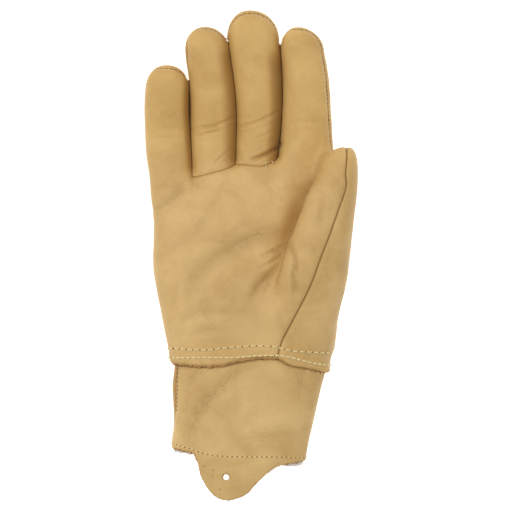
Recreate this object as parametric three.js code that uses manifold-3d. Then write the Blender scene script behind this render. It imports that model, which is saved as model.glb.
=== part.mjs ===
// A lined leather work glove for the right hand, lying on its back with the palm up.
// Millimetres. +Y runs to the fingertips, +X to the thumb, +Z up out of the palm; the floor is z = 0.
// The hand is one hollow wall, cut along its seams into the panels that a glover sews together.

import * as THREE from 'three';
import { mergeVertices } from 'three/addons/utils/BufferGeometryUtils.js';
import Module from 'manifold-3d';

const wasm = await Module();
wasm.setup();

// Driving dimensions
const HAND_WALL = 2.4; // leather with its bonded lining
const CUFF_LEATHER = 1.4;
const LINING_WALL = 2.2;
const SEAM_GAP = 0.3; // between two panels, and between the cuff and what it lies in
const FINGER_SIDES = 16;
const THUMB_SIDES = 16;
const PALM_SIDES = 28;
const CUFF_SIDES = 24;
const FINGER_FULLNESS = 2.2; // superellipse exponent of a section: 2 is an ellipse
const PALM_FULLNESS = 2.7;
const CUFF_FULLNESS = 2.5;
const TIP_FULLNESS = 2.15;
const TIP_STEPS = [0.38, 0.68, 0.9]; // share of the tip's length at each section that rounds it off
const KNUCKLE_Y = 45; // where the fingers leave the palm
const FINGER_BASE_Z = 12.2;
const FINGER_DEPTH = { base: 11.6, tip: 10.2 }; // half the thickness of a finger
const HANG_HOLE = { x: -14.9, y: -132.6, radius: 2.1 };

// Outlines of the fingers seen from the palm side: left and right edge at each y.
// lift is how far 100 mm of finger curls up off the floor.
const FINGERS = {
  little: {
    lift: 11,
    tip: { x: -50.3, y: 114.8 },
    rows: [
      { y: 26, left: -58.0, right: -34.0 },
      { y: 45, left: -61.5, right: -36.6 },
      { y: 63, left: -63.3, right: -37.1 },
      { y: 77, left: -64.2, right: -37.4 },
      { y: 90, left: -64.6, right: -38.2 },
      { y: 100, left: -63.9, right: -37.6 },
    ],
  },
  ring: {
    lift: 6,
    tip: { x: -27.6, y: 137.6 },
    rows: [
      { y: 26, left: -34.0, right: -9.8 },
      { y: 57, left: -35.7, right: -9.9 },
      { y: 75, left: -36.2, right: -9.6 },
      { y: 87, left: -36.4, right: -9.6 },
      { y: 99, left: -36.7, right: -11.4 },
      { y: 115, left: -38.4, right: -12.9 },
      { y: 123, left: -39.3, right: -13.6 },
    ],
  },
  middle: {
    lift: 5,
    tip: { x: 0.4, y: 146.8 },
    rows: [
      { y: 26, left: -8.7, right: 16.0 },
      { y: 58, left: -8.7, right: 15.8 },
      { y: 72, left: -8.5, right: 17.0 },
      { y: 87, left: -8.3, right: 17.4 },
      { y: 102, left: -10.3, right: 17.6 },
      { y: 117, left: -11.7, right: 17.4 },
      { y: 129, left: -13.6, right: 16.4 },
    ],
  },
  index: {
    lift: 7,
    tip: { x: 29.8, y: 137.0 },
    rows: [
      { y: 26, left: 17.5, right: 47.6 },
      { y: 63, left: 17.2, right: 49.5 },
      { y: 75, left: 18.2, right: 48.6 },
      { y: 87, left: 18.6, right: 47.9 },
      { y: 102, left: 18.9, right: 46.8 },
      { y: 117, left: 18.6, right: 45.4 },
      { y: 123, left: 18.0, right: 44.2 },
    ],
  },
};

// The thumb lies over the palm's edge: low and buried at the wrist, high and free at its tip.
const THUMB = {
  tip: { x: 57.6, y: 64.2, z: 36.5 },
  rows: [
    { y: -66, left: 26.0, right: 44.0, z: 15.0, depth: 8.0 },
    { y: -58, left: 23.0, right: 47.4, z: 18.0, depth: 10.5 },
    { y: -45, left: 17.0, right: 51.0, z: 21.5, depth: 13.5 },
    { y: -30, left: 14.0, right: 53.8, z: 24.5, depth: 14.6 },
    { y: -16, left: 13.8, right: 57.0, z: 27.5, depth: 15.2 },
    { y: -4, left: 17.1, right: 59.2, z: 30.0, depth: 15.2 },
    { y: 9, left: 22.6, right: 60.5, z: 32.5, depth: 14.6 },
    { y: 23, left: 28.8, right: 62.3, z: 34.5, depth: 13.4 },
    { y: 36, left: 33.0, right: 64.0, z: 36.0, depth: 12.4 },
    { y: 45, left: 37.2, right: 64.6, z: 36.5, depth: 11.6 },
  ],
};

// The hand from the wrist hem to the knuckles: edges, the height of the palm above the floor,
// and how much of its round section the floor flattens.
const PALM_ROWS = [
  { y: -76, left: -48.0, right: 46.6, top: 31.5, sink: 1.6 },
  { y: -64, left: -48.4, right: 47.4, top: 32.5, sink: 1.6 },
  { y: -55, left: -49.8, right: 48.6, top: 33.0, sink: 1.6 },
  { y: -46, left: -51.8, right: 48.6, top: 33.5, sink: 1.6 },
  { y: -34, left: -54.2, right: 48.0, top: 34.5, sink: 1.6 },
  { y: -20, left: -57.0, right: 47.2, top: 35.0, sink: 1.6 },
  { y: -6, left: -59.3, right: 47.0, top: 34.5, sink: 1.6 },
  { y: 8, left: -58.8, right: 47.2, top: 33.0, sink: 1.6 },
  { y: 20, left: -57.8, right: 47.6, top: 31.0, sink: 1.3 },
  { y: 32, left: -59.6, right: 48.2, top: 28.5, sink: 0.7 },
  { y: 45, left: -61.4, right: 48.8, top: 25.0, sink: -0.3 },
];
const CUFF_SINK = 1.6;
// The palm's end at the webs: how far on from the knuckles to the web, and how much flatter there
const WEB_ROUNDING = [{ on: 0.55, flatter: 1.2 }, { on: 1, flatter: 6.0 }];

// Where the webs between the fingers close off the palm
const WEB_LINE = [
  { x: -62, y: 46 },
  { x: -37, y: 50 },
  { x: -9, y: 55.5 },
  { x: 17, y: 57.5 },
  { x: 49, y: 52 },
];

// Broad hollows pressed into the palm, each an oval along its own direction
const HOLLOWS = [
  { x: 33, y: 22, along: 26, across: 15, turn: 62, depth: 8.0 },
  { x: -2, y: 2, along: 34, across: 8, turn: 24, depth: 2.2 },
  { x: 8, y: -26, along: 16, across: 8, turn: 50, depth: 2.6 },
  { x: -40, y: 30, along: 18, across: 7, turn: 48, depth: 1.4 },
];

// The cuff narrows to the wrist and lies flatter at its mouth; below the mouth only its front goes on, as the tab.
const CUFF_ROWS = [
  { y: -50, left: -46.6, right: 45.6, bottom: 3.0, top: 29.4 },
  { y: -63, left: -45.2, right: 44.2, bottom: 2.9, top: 29.2 },
  { y: -71, left: -46.4, right: 43.4, bottom: 2.9, top: 29.2 },
  { y: -78, left: -47.2, right: 42.4, bottom: 1.2, top: 29.2 },
  { y: -92, left: -46.4, right: 39.2, bottom: 0.0, top: 28.6 },
  { y: -111, left: -47.6, right: 34.8, bottom: 0.0, top: 27.6 },
  { y: -128, left: -47.2, right: 32.0, bottom: 0.0, top: 26.4 },
  { y: -152, left: -47.0, right: 31.0, bottom: 0.0, top: 23.4 },
];

// Seam heights down the cuff's two sides
const CUFF_SEAM = [
  { y: -40, left: 21.0, right: 14.0 },
  { y: -74, left: 21.0, right: 14.0 },
  { y: -111, left: 15.5, right: 13.0 },
  { y: -152, left: 13.0, right: 12.0 },
];

// Lower edge of the hand, over the cuff
const HEM_LINE = [
  [-48, -63.9], [-46, -65.2], [-35.4, -66.6], [-24.6, -66.9], [-15.4, -66.1], [-7, -63.5],
  [4.4, -62.1], [14.4, -61.5], [22, -65.7], [29.7, -66.6], [38, -68], [46.2, -69.6],
];

// Edge of the cuff's front with the tab that guards the pulse, from the little finger's side round to the thumb's
const CUFF_FRONT_EDGE = [
  [-47.4, -114.9], [-40.8, -117.0], [-34.2, -118.8], [-33.0, -120.9], [-30.9, -126.3], [-30.0, -132.3],
  [-25.8, -139.5], [-20.4, -144.9], [-14.4, -146.8], [-9.0, -145.5], [-4.8, -143.7], [-2.4, -142.5],
  [0.6, -139.2], [6.4, -132.9], [11.4, -128.7], [15.6, -126.2], [23.4, -126.0], [30.0, -125.1],
  [32.4, -123.3], [33.0, -120.3],
];
const CUFF_BACK_EDGE = [[-60, -115.5], [44, -125.5]];
const LINING_EDGE = [[-60, -117.0], [44, -127.6]];

// Seams of the palm side, seen from above
const THUMB_SEAM = [
  [57.3, 80], [57.3, 63.9], [56.7, 41.1], [51.9, 27.3], [41.8, 0], [35.6, -18.5], [25.2, -38.7], [17.0, -54.8],
  [15.8, -80],
];
const RING_BASE = [[-36.8, 49.2], [-33, 49.4], [-27.6, 50.3], [-18.6, 53.1], [-9.3, 55.6]];
const MIDDLE_BASE = [[-9.3, 55.6], [-0.6, 54.7], [6.6, 54.9], [12, 56.2], [17.0, 57.6]];

// Height at which the palm side meets the back: at the little finger's edge, and at the index finger's
const SIDE_SEAM = { low: 12.8, high: 18.8, lowX: -64, highX: 48, lift: 6 };
// Height at which the thumb's outer piece meets the back
const THUMB_BACK_SEAM = [
  { y: -80, z: 5.0 },
  { y: -40, z: 5.0 },
  { y: 0, z: 6.0 },
  { y: 22, z: 8.0 },
  { y: 36, z: 14.0 },
  { y: 80, z: 17.0 },
];
const FORCHETTE = { base: 11, tip: 3, webDepth: 8, shortOfTip: 9 };
const FAR = 90; // past every side of the glove

// Small mathematics
const lerp = (a, b, t) => a + (b - a) * t;

function alongRows(rows, key, at, axis = 'y') {
  const last = rows.length - 1;
  const up = rows[last][axis] > rows[0][axis] ? 1 : -1;
  for (let i = 0; i < last; i++) {
    if ((at - rows[i + 1][axis]) * up <= 0 || i === last - 1) {
      const span = rows[i + 1][axis] - rows[i][axis];
      const t = THREE.MathUtils.clamp((at - rows[i][axis]) / span, 0, 1);
      return lerp(rows[i][key], rows[i + 1][key], t);
    }
  }
  return rows[0][key];
}

function hollowDepth(x, y) {
  let depth = 0;
  for (const h of HOLLOWS) {
    const turn = THREE.MathUtils.degToRad(h.turn);
    const dx = x - h.x;
    const dy = y - h.y;
    const u = (dx * Math.cos(turn) + dy * Math.sin(turn)) / h.along;
    const v = (dy * Math.cos(turn) - dx * Math.sin(turn)) / h.across;
    depth += h.depth * Math.exp(-(u * u + v * v));
  }
  return depth;
}

// From geometry to solids and back
function solidFrom(geometry) {
  const bare = new THREE.BufferGeometry();
  bare.setAttribute('position', geometry.getAttribute('position'));
  if (geometry.index) bare.setIndex(geometry.index);
  const merged = mergeVertices(bare, 1e-4);
  const solid = new wasm.Manifold(new wasm.Mesh({
    numProp: 3,
    vertProperties: new Float32Array(merged.getAttribute('position').array),
    triVerts: new Uint32Array(merged.index.array),
  }));
  return solid;
}

function largestPiece(solid) {
  return solid.decompose().reduce((best, piece) => (piece.volume() > best.volume() ? piece : best));
}

function geometryFrom(solid) {
  const mesh = largestPiece(solid).simplify(0.02).getMesh();
  const geometry = new THREE.BufferGeometry();
  geometry.setAttribute('position', new THREE.BufferAttribute(new Float32Array(mesh.vertProperties), 3));
  geometry.setIndex([...mesh.triVerts]);
  geometry.computeVertexNormals();
  return geometry;
}

// A closed loft through rings of equally many points; each end closes on its own middle point.
function loft(rings, firstPoint, lastPoint) {
  const sides = rings[0].length;
  const points = rings.flat();
  const first = points.push(firstPoint) - 1;
  const last = points.push(lastPoint) - 1;
  const index = [];
  for (let r = 0; r < rings.length - 1; r++) {
    for (let s = 0; s < sides; s++) {
      const a = r * sides + s;
      const b = r * sides + ((s + 1) % sides);
      index.push(a, b, a + sides, b, b + sides, a + sides);
    }
  }
  for (let s = 0; s < sides; s++) {
    const next = (s + 1) % sides;
    const top = (rings.length - 1) * sides;
    index.push(first, next, s, last, top + s, top + next);
  }
  const geometry = new THREE.BufferGeometry();
  geometry.setAttribute('position', new THREE.Float32BufferAttribute(points.flat(), 3));
  geometry.setIndex(index);
  const solid = solidFrom(geometry);
  if (solid.volume() > 0) return solid;
  const turned = [];
  for (let i = 0; i < index.length; i += 3) turned.push(index[i], index[i + 2], index[i + 1]);
  geometry.setIndex(turned);
  return solidFrom(geometry);
}

// A section across the glove: a superellipse between two edges and two heights, flat where it meets the floor
function sectionRing(section, sides, fullness, floor, shape = (point) => point) {
  const ring = [];
  const middleX = (section.left + section.right) / 2;
  const halfWidth = (section.right - section.left) / 2;
  for (let s = 0; s < sides; s++) {
    const angle = (2 * Math.PI * s) / sides;
    const cos = Math.cos(angle);
    const sin = Math.sin(angle);
    const x = middleX + halfWidth * Math.sign(cos) * Math.abs(cos) ** (2 / fullness);
    const rise = Math.sign(sin) * Math.abs(sin) ** (2 / fullness);
    const z = Math.max(floor, section.z + section.depth * rise);
    ring.push(shape([x, section.y, z], rise));
  }
  return ring;
}

// Tubes for the fingers and the thumb
function fingerSections(finger) {
  return finger.rows.map((row) => {
    const out = Math.max(0, row.y - KNUCKLE_Y) / 100;
    return {
      ...row,
      z: FINGER_BASE_Z + finger.lift * out * out,
      depth: lerp(FINGER_DEPTH.base, FINGER_DEPTH.tip, out),
    };
  });
}

function tipSections(last, tip) {
  return TIP_STEPS.map((step) => {
    const narrow = (1 - step ** TIP_FULLNESS) ** (1 / TIP_FULLNESS);
    const middle = lerp((last.left + last.right) / 2, tip.x, step * step);
    const half = ((last.right - last.left) / 2) * narrow;
    return {
      y: lerp(last.y, tip.y, step),
      left: middle - half,
      right: middle + half,
      z: lerp(last.z, tip.z, step),
      depth: last.depth * narrow,
    };
  });
}

function closedTube(sections, tip, sides, inset) {
  const last = { ...sections[sections.length - 1] };
  const shrink = (s) => ({ ...s, left: s.left + inset, right: s.right - inset, depth: s.depth - inset });
  const innerTip = { ...tip, y: tip.y - inset };
  const body = sections.map(shrink);
  const all = [...body, ...tipSections(shrink(last), innerTip)];
  const rings = all.map((s) => sectionRing(s, sides, FINGER_FULLNESS, inset));
  const start = all[0];
  return loft(rings, [(start.left + start.right) / 2, start.y, start.z], [innerTip.x, innerTip.y, innerTip.z]);
}

function fingerTube(finger, inset) {
  const sections = fingerSections(finger);
  const last = sections[sections.length - 1];
  const out = (finger.tip.y - KNUCKLE_Y) / 100;
  const tip = { ...finger.tip, z: Math.max(last.z, FINGER_BASE_Z + finger.lift * out * out) };
  return closedTube(sections, tip, FINGER_SIDES, inset);
}

const thumbTube = (inset) => closedTube(THUMB.rows, THUMB.tip, THUMB_SIDES, inset);

// The palm, closed at the webs and open over the wrist
function palmBody(inset) {
  const sections = PALM_ROWS.map((row) => ({
    y: row.y,
    left: row.left + inset,
    right: row.right - inset,
    z: (row.top - row.sink) / 2,
    depth: (row.top + row.sink) / 2 - inset,
  }));
  const press = (point, rise) => {
    const [x, y, z] = point;
    return [x, y, Math.max(inset, z - hollowDepth(x, y) * Math.max(0, rise))];
  };
  const rings = sections.map((s) => sectionRing(s, PALM_SIDES, PALM_FULLNESS, inset, press));
  const knuckles = sections[sections.length - 1];
  for (const { on, flatter } of WEB_ROUNDING) {
    const flat = { ...knuckles, depth: knuckles.depth - flatter };
    const onward = (x) => lerp(knuckles.y, alongRows(WEB_LINE, 'y', x, 'x') - inset, on);
    rings.push(sectionRing(flat, PALM_SIDES, PALM_FULLNESS, inset).map(([x, , z]) => [x, onward(x), z]));
  }
  const start = sections[0];
  const webX = (knuckles.left + knuckles.right) / 2;
  const webY = alongRows(WEB_LINE, 'y', webX, 'x') - inset;
  return loft(rings, [(start.left + start.right) / 2, start.y, start.z], [webX, webY, knuckles.z]);
}

function handSolid(inset) {
  const parts = [palmBody(inset), thumbTube(inset), ...Object.values(FINGERS).map((f) => fingerTube(f, inset))];
  return parts.reduce((whole, part) => whole.add(part));
}

// A slab along Y whose lower face follows the given heights and whose other faces are out of reach
function slabAbove(rows, left, right, lower) {
  const rings = rows.map((row) => [
    [left, row.y, row.left + lower], [right, row.y, row.right + lower], [right, row.y, FAR], [left, row.y, FAR],
  ]);
  const middle = (ring) => [(left + right) / 2, ring[0][1], (ring[0][2] + FAR) / 2];
  return loft(rings, middle(rings[0]), middle(rings[rings.length - 1]));
}

// An upright block over an outline drawn from above
function uprightBlock(outline, hole) {
  const shape = new THREE.Shape(outline.map(([x, y]) => new THREE.Vector2(x, y)));
  if (hole) {
    const ring = new THREE.Path();
    ring.absarc(hole.x, hole.y, hole.radius, 0, 2 * Math.PI, true);
    shape.holes.push(ring);
  }
  const block = new THREE.ExtrudeGeometry(shape, { depth: 2 * FAR, bevelEnabled: false, curveSegments: 8 });
  block.translate(0, 0, -FAR / 2);
  return solidFrom(block);
}

// Regions that the seams divide the hand into. spread widens a region by half of a seam's gap.
function sideSeamHeight(x, y) {
  const t = (x - SIDE_SEAM.lowX) / (SIDE_SEAM.highX - SIDE_SEAM.lowX);
  const out = Math.max(0, y - KNUCKLE_Y) / 100;
  return lerp(SIDE_SEAM.low, SIDE_SEAM.high, t) + SIDE_SEAM.lift * out * out;
}

function palmSide(spread) {
  const stations = [-FAR, KNUCKLE_Y, 65, 85, 105, 125, 160];
  const rows = stations.map((y) => ({ y, left: sideSeamHeight(-FAR, y), right: sideSeamHeight(FAR, y) }));
  return slabAbove(rows, -FAR, FAR, -spread);
}

function thumbOuterSide(spread) {
  const outline = [...THUMB_SEAM.map(([x, y]) => [x - spread, y]), [FAR, -80], [FAR, 80]];
  const rows = THUMB_BACK_SEAM.map((row) => ({ y: row.y, left: row.z, right: row.z }));
  return uprightBlock(outline).intersect(slabAbove(rows, -FAR, FAR, -spread));
}

const gapBetween = (low, high, y) => (alongRows(low.rows, 'right', y) + alongRows(high.rows, 'left', y)) / 2;

function fingerFront(low, finger, high, baseLine, spread) {
  const stations = [64, 75, 87, 99, 108, 117, 129, 160];
  const left = stations.map((y) => [gapBetween(low, finger, y) - spread, y]).reverse();
  const right = stations.map((y) => [gapBetween(finger, high, y) + spread, y]);
  const base = baseLine.map(([x, y]) => [x, y - spread]);
  base[0][0] -= spread;
  base[base.length - 1][0] += spread;
  return uprightBlock([...left, ...base, ...right]).intersect(palmSide(spread));
}

function forchetteBand(low, high, spread) {
  const webX = gapBetween(low, high, KNUCKLE_Y + 10);
  const start = alongRows(WEB_LINE, 'y', webX, 'x') - FORCHETTE.webDepth;
  const end = Math.min(low.tip.y, high.tip.y) - FORCHETTE.shortOfTip;
  const middleOf = (finger, y) => (alongRows(finger.rows, 'left', y) + alongRows(finger.rows, 'right', y)) / 2;
  const steps = 6;
  const rings = [];
  for (let i = 0; i <= steps; i++) {
    const t = i / steps;
    const y = lerp(start - spread, end + spread, t);
    const left = middleOf(low, y);
    const right = middleOf(high, y);
    const seamLeft = sideSeamHeight(left, y) + FORCHETTE.tip;
    const seamRight = sideSeamHeight(right, y) + FORCHETTE.tip;
    const width = lerp(FORCHETTE.base, FORCHETTE.tip, t) + FORCHETTE.tip + spread;
    rings.push([[left, y, seamLeft - width], [right, y, seamRight - width], [right, y, seamRight], [left, y, seamLeft]]);
  }
  const middle = (ring) => [(ring[0][0] + ring[1][0]) / 2, ring[0][1], (ring[0][2] + ring[2][2]) / 2];
  return loft(rings, middle(rings[0]), middle(rings[steps])).subtract(palmSide(-spread));
}

// The cuff
function cuffTube(inset, fromY, toY) {
  const rows = CUFF_ROWS.filter((row) => row.y < fromY && row.y > toY).map((row) => row.y);
  const stations = [fromY, ...rows, toY];
  const sections = stations.map((y) => {
    const bottom = alongRows(CUFF_ROWS, 'bottom', y);
    const top = alongRows(CUFF_ROWS, 'top', y);
    return {
      y,
      left: alongRows(CUFF_ROWS, 'left', y) + inset,
      right: alongRows(CUFF_ROWS, 'right', y) - inset,
      z: (top + bottom) / 2 - CUFF_SINK / 2,
      depth: (top - bottom) / 2 + CUFF_SINK / 2 - inset,
    };
  });
  const rings = sections.map((s) => {
    const floor = alongRows(CUFF_ROWS, 'bottom', s.y) + inset;
    return sectionRing(s, CUFF_SIDES, CUFF_FULLNESS, floor);
  });
  const ends = [sections[0], sections[sections.length - 1]].map((s) => [(s.left + s.right) / 2, s.y, s.z]);
  return loft(rings, ends[0], ends[1]);
}

function cuffWall(outerInset, thickness, fromY, toY) {
  return cuffTube(outerInset, fromY, toY).subtract(cuffTube(outerInset + thickness, fromY + 1, toY - 1));
}

const aboveEdge = (edge, hole) => uprightBlock([[-60, 20], ...edge, [60, edge[edge.length - 1][1]], [60, 20]], hole);

function cuffFrontOutline() {
  const [firstX, firstY] = CUFF_FRONT_EDGE[0];
  return aboveEdge([[-60, firstY + (firstX + 60) * 0.2], ...CUFF_FRONT_EDGE], HANG_HOLE);
}

// Assembly
const leather = () => new THREE.MeshStandardMaterial({ color: 0xd2b173, roughness: 0.62, metalness: 0 });
const fleece = () => new THREE.MeshStandardMaterial({ color: 0xe6ddcf, roughness: 0.95, metalness: 0 });

const glove = new THREE.Group();

function addPiece(name, solid, material) {
  const mesh = new THREE.Mesh(geometryFrom(solid), material);
  mesh.name = name;
  glove.add(mesh);
}

const half = SEAM_GAP / 2;
const { little, ring, middle, index } = FINGERS;
const hemBlock = uprightBlock([
  [-FAR, 170], [-FAR, HEM_LINE[0][1]], ...HEM_LINE, [FAR, HEM_LINE[HEM_LINE.length - 1][1]], [FAR, 170],
]);
const handWall = handSolid(0).subtract(handSolid(HAND_WALL)).intersect(hemBlock);
const cuffLeather = cuffWall(0, CUFF_LEATHER, CUFF_ROWS[0].y, CUFF_ROWS[CUFF_ROWS.length - 1].y);

const frontRegion = palmSide(-half);
const forchettes = [
  ['forchette_little_ring', little, ring],
  ['forchette_ring_middle', ring, middle],
  ['forchette_middle_index', middle, index],
];

const palm = handWall
  .intersect(frontRegion)
  .subtract(thumbOuterSide(half))
  .subtract(fingerFront(little, ring, middle, RING_BASE, half))
  .subtract(fingerFront(ring, middle, index, MIDDLE_BASE, half));
let back = handWall.subtract(palmSide(half)).subtract(thumbOuterSide(half));
for (const [, low, high] of forchettes) back = back.subtract(forchetteBand(low, high, half));

addPiece('palm', palm, leather());
addPiece('ring_finger_front', handWall.intersect(fingerFront(little, ring, middle, RING_BASE, -half)), leather());
addPiece('middle_finger_front', handWall.intersect(fingerFront(ring, middle, index, MIDDLE_BASE, -half)), leather());
addPiece('back', back, leather());
addPiece('thumb_outer', handWall.intersect(thumbOuterSide(-half)), leather());
for (const [name, low, high] of forchettes) {
  addPiece(name, handWall.intersect(forchetteBand(low, high, -half)), leather());
}

const cuffSeamFront = slabAbove(CUFF_SEAM, -FAR, FAR, half);
const cuffSeamBack = slabAbove(CUFF_SEAM, -FAR, FAR, -half);
addPiece('cuff_front', cuffLeather.intersect(cuffSeamFront).intersect(cuffFrontOutline()), leather());
addPiece('cuff_back', cuffLeather.subtract(cuffSeamBack).intersect(aboveEdge(CUFF_BACK_EDGE)), leather());

const liningInset = CUFF_LEATHER + SEAM_GAP;
const lining = cuffWall(liningInset, LINING_WALL, CUFF_ROWS[0].y, -140).intersect(aboveEdge(LINING_EDGE));
addPiece('cuff_lining', lining, fleece());

export default glove;
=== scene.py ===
"""Lined leather work glove: its leather panels, fleece, stitching and a plain stage.

Lengths in this file are millimetres until a mesh is made. X runs to the thumb, Y to the fingertips and
Z up out of the palm. Each panel is a closed skin of leather, found as the surface of a distance field.
"""

import math
from functools import partial

import bpy
import numpy as np
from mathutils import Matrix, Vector


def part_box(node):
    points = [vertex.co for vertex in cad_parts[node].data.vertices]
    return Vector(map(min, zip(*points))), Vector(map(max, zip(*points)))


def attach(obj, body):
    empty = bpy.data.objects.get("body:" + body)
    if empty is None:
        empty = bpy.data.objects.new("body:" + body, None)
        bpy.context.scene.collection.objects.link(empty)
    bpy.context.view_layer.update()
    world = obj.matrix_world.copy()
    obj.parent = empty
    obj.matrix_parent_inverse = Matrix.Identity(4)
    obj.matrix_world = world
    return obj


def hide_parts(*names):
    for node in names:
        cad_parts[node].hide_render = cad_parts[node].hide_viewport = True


bl_info = {
    "name": "Lined Leather Work Glove",
    "version": (1, 0, 0),
    "blender": (4, 5, 0),
    "location": "3D View > Sidebar > Glove",
    "description": "Leather panels, lining, stitching and stage of a lined work glove",
    "category": "Object",
}

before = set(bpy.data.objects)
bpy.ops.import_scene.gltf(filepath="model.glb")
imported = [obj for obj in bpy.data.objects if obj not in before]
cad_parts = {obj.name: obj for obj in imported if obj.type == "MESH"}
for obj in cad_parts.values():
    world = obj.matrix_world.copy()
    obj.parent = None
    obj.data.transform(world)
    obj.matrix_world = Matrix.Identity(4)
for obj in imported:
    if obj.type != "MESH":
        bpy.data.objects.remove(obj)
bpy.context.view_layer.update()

MM = 0.001
# The front view is drawn on a grid: its step in millimetres, and the glove's middle on it
GRID_STEP = 0.6
GRID_MIDDLE = (251.0, 255.5)


def front(*points):
    """Points of the front view's grid, in millimetres."""
    middle_x, middle_y = GRID_MIDDLE
    return [((x - middle_x) * GRID_STEP, (middle_y - y) * GRID_STEP) for x, y in points]


# The fingers' height and half thickness at the knuckles and, over their reach, at the tips
KNUCKLE_Y = 45.0
FINGER_REACH = 100.0
FINGER_BASE_Z = 12.2
FINGER_DEPTH = (11.6, 10.2)
# How square the sections are: 2 for an ellipse, more for a fuller form
FINGER_FULLNESS = 2.2
PALM_FULLNESS = 2.7
CUFF_FULLNESS = 2.5
TIP_FULLNESS = 2.05
# The y below which a finger, or the thumb, fades into the palm, and how fast it does
FINGER_ROOT = (48.0, 0.028)
THUMB_ROOT = (-56.0, 0.5)
# How widely one form runs into the next
FINGER_BLEND = 2.0
KNUCKLE_BLEND = 3.5
PALM_END_BLEND = 9.0
FLOOR_BLEND = 1.6
THUMB_BLEND = dict(seam=1.2, root=8.0, tip=9.0, outer_side=7.0)
# Where these set in, each from which place to which
THUMB_ROOT_Y = (-8.0, -32.0)
THUMB_TIP_Y = (37.0, 50.0)
THUMB_OUTER_Y = (14.0, 30.0)
THUMB_OUTER_X = (36.0, 44.0)

# In the front view: y, left edge, right edge. Each finger tucks a little under the next one to the right.
# lift: how much it rises to its tip; base: how much higher it starts than the little finger.
# seam: how far above the finger's middle its side seam runs, on the left and the right.
# tip_seam: the same at the tip's left, top and right.
FINGERS = {
    "little": dict(lift=11, base=0.0, tip=(166.4, 64.2), seam=(-1.2, -0.5), tip_seam=(0.4, 5.2, 3.2), rows=[
        (212, 155.0, 197.0), (180.5, 149.6, 194.0), (165, 147.4, 193.4), (150.5, 145.4, 192.4),
        (139, 145.0, 191.4), (127, 144.7, 190.2), (118, 144.4, 189.4), (111, 144.4, 189.0),
        (105.5, 144.4, 189.0), (99, 144.6, 189.2), (94, 145.0, 189.4), (88.8, 145.6, 189.8)]),
    "ring": dict(lift=6, base=0.5, tip=(204.2, 26.2), seam=(-1.5, -0.6), tip_seam=(0.6, 4.2, 2.8), rows=[
        (212, 193.6, 238.0), (180, 192.6, 237.6), (168, 191.4, 237.6), (154, 190.6, 237.4),
        (139, 190.2, 237.6), (125, 190.0, 238.0), (118, 190.0, 238.0), (111, 190.0, 237.8),
        (100, 189.9, 237.0), (91, 189.0, 236.4), (81, 188.6, 235.2), (70.4, 187.4, 233.6),
        (60, 185.6, 231.6), (50.5, 184.9, 229.8)]),
    "middle": dict(lift=5, base=1.2, tip=(251.0, 10.6), seam=(-1.0, -0.4), tip_seam=(2.6, 3.9, 2.8), rows=[
        (212, 235.0, 279.6), (163, 234.6, 277.6), (155, 234.6, 278.4), (147, 234.8, 279.8),
        (132, 235.2, 281.6), (117, 235.6, 282.8), (103, 234.8, 283.4), (91, 234.0, 283.6),
        (80.7, 232.8, 283.4), (70, 231.2, 282.8), (60, 230.2, 281.6), (51, 228.4, 280.2),
        (40.5, 226.3, 279.2)]),
    "index": dict(lift=6, base=2.4, tip=(298.2, 27.2), seam=(-0.4, 4.9), tip_seam=(0.2, 4.1, 4.1), rows=[
        (212, 276.8, 329.4), (163, 276.2, 333.4), (152, 277.8, 333.4), (139, 279.6, 332.8),
        (117, 281.0, 331.4), (95, 281.6, 329.8), (73, 281.4, 327.9), (60.5, 281.0, 325.8),
        (50.5, 280.2, 323.6)]),
}
# The flanks with painted shade, as if cast by the next finger: on which piece, of which finger, where the shade
# starts across it, its strength, and from which y to which it lies in the front view.
SHADED_FLANKS = {
    "palm": ("little", 0.80, 0.9, 196, 62),
    "ring_finger_front": ("ring", 0.63, 1.20, 196, 38),
    "middle_finger_front": ("middle", 0.65, 1.85, 184, 44),
}
for finger in FINGERS.values():
    finger["tip"] = front(finger["tip"])[0]
    lefts, rights = (front(*((row[side], row[0]) for row in finger["rows"])) for side in (1, 2))
    finger["rows"] = [(y, left, right) for (left, y), (right, _) in zip(lefts, rights)]

THUMB_TIP = (56.7, 65.0)
# y, left, right, height of the middle, half thickness
THUMB_ROWS = [
    (-66, 26.0, 44.6, 15.0, 8.0), (-58, 23.0, 47.6, 18.0, 10.5), (-50, 19.5, 49.4, 20.4, 12.6),
    (-45, 17.0, 50.4, 21.5, 13.5), (-36, 14.6, 51.9, 23.4, 14.3), (-30, 13.0, 53.7, 24.5, 14.6),
    (-20, 13.6, 56.5, 26.6, 15.0), (-10, 16.2, 58.1, 28.8, 15.2), (0, 19.8, 59.3, 30.8, 15.0),
    (9, 22.8, 60.1, 32.5, 14.6), (23, 29.0, 61.5, 34.5, 13.4), (33, 32.4, 62.9, 35.6, 12.6),
    (40, 34.8, 63.5, 36.0, 12.0), (47, 39.8, 63.7, 36.0, 11.4),
]

# y, left, right, top, how much the floor flattens
PALM_ROWS = [
    (-76, -48.4, 47.6, 31.5, 1.6), (-64, -48.7, 47.2, 32.5, 1.6), (-55, -49.6, 47.6, 33.0, 1.6),
    (-46, -51.6, 47.6, 33.5, 1.6), (-34, -54.0, 47.2, 34.5, 1.6), (-20, -56.8, 46.8, 35.0, 1.6),
    (-12, -58.4, 46.8, 34.8, 1.6), (-4, -59.0, 46.8, 34.4, 1.6), (8, -58.3, 47.0, 33.0, 1.6),
    (20, -58.2, 47.2, 31.0, 1.3), (32, -59.6, 47.6, 28.5, 0.7), (45, -61.2, 48.2, 25.0, -0.3),
]
# Where the palm ends between the fingers
WEB_LINE = [(-62, 46), (-37, 50), (-9, 55.5), (17, 57.5), (49, 52)]

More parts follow.
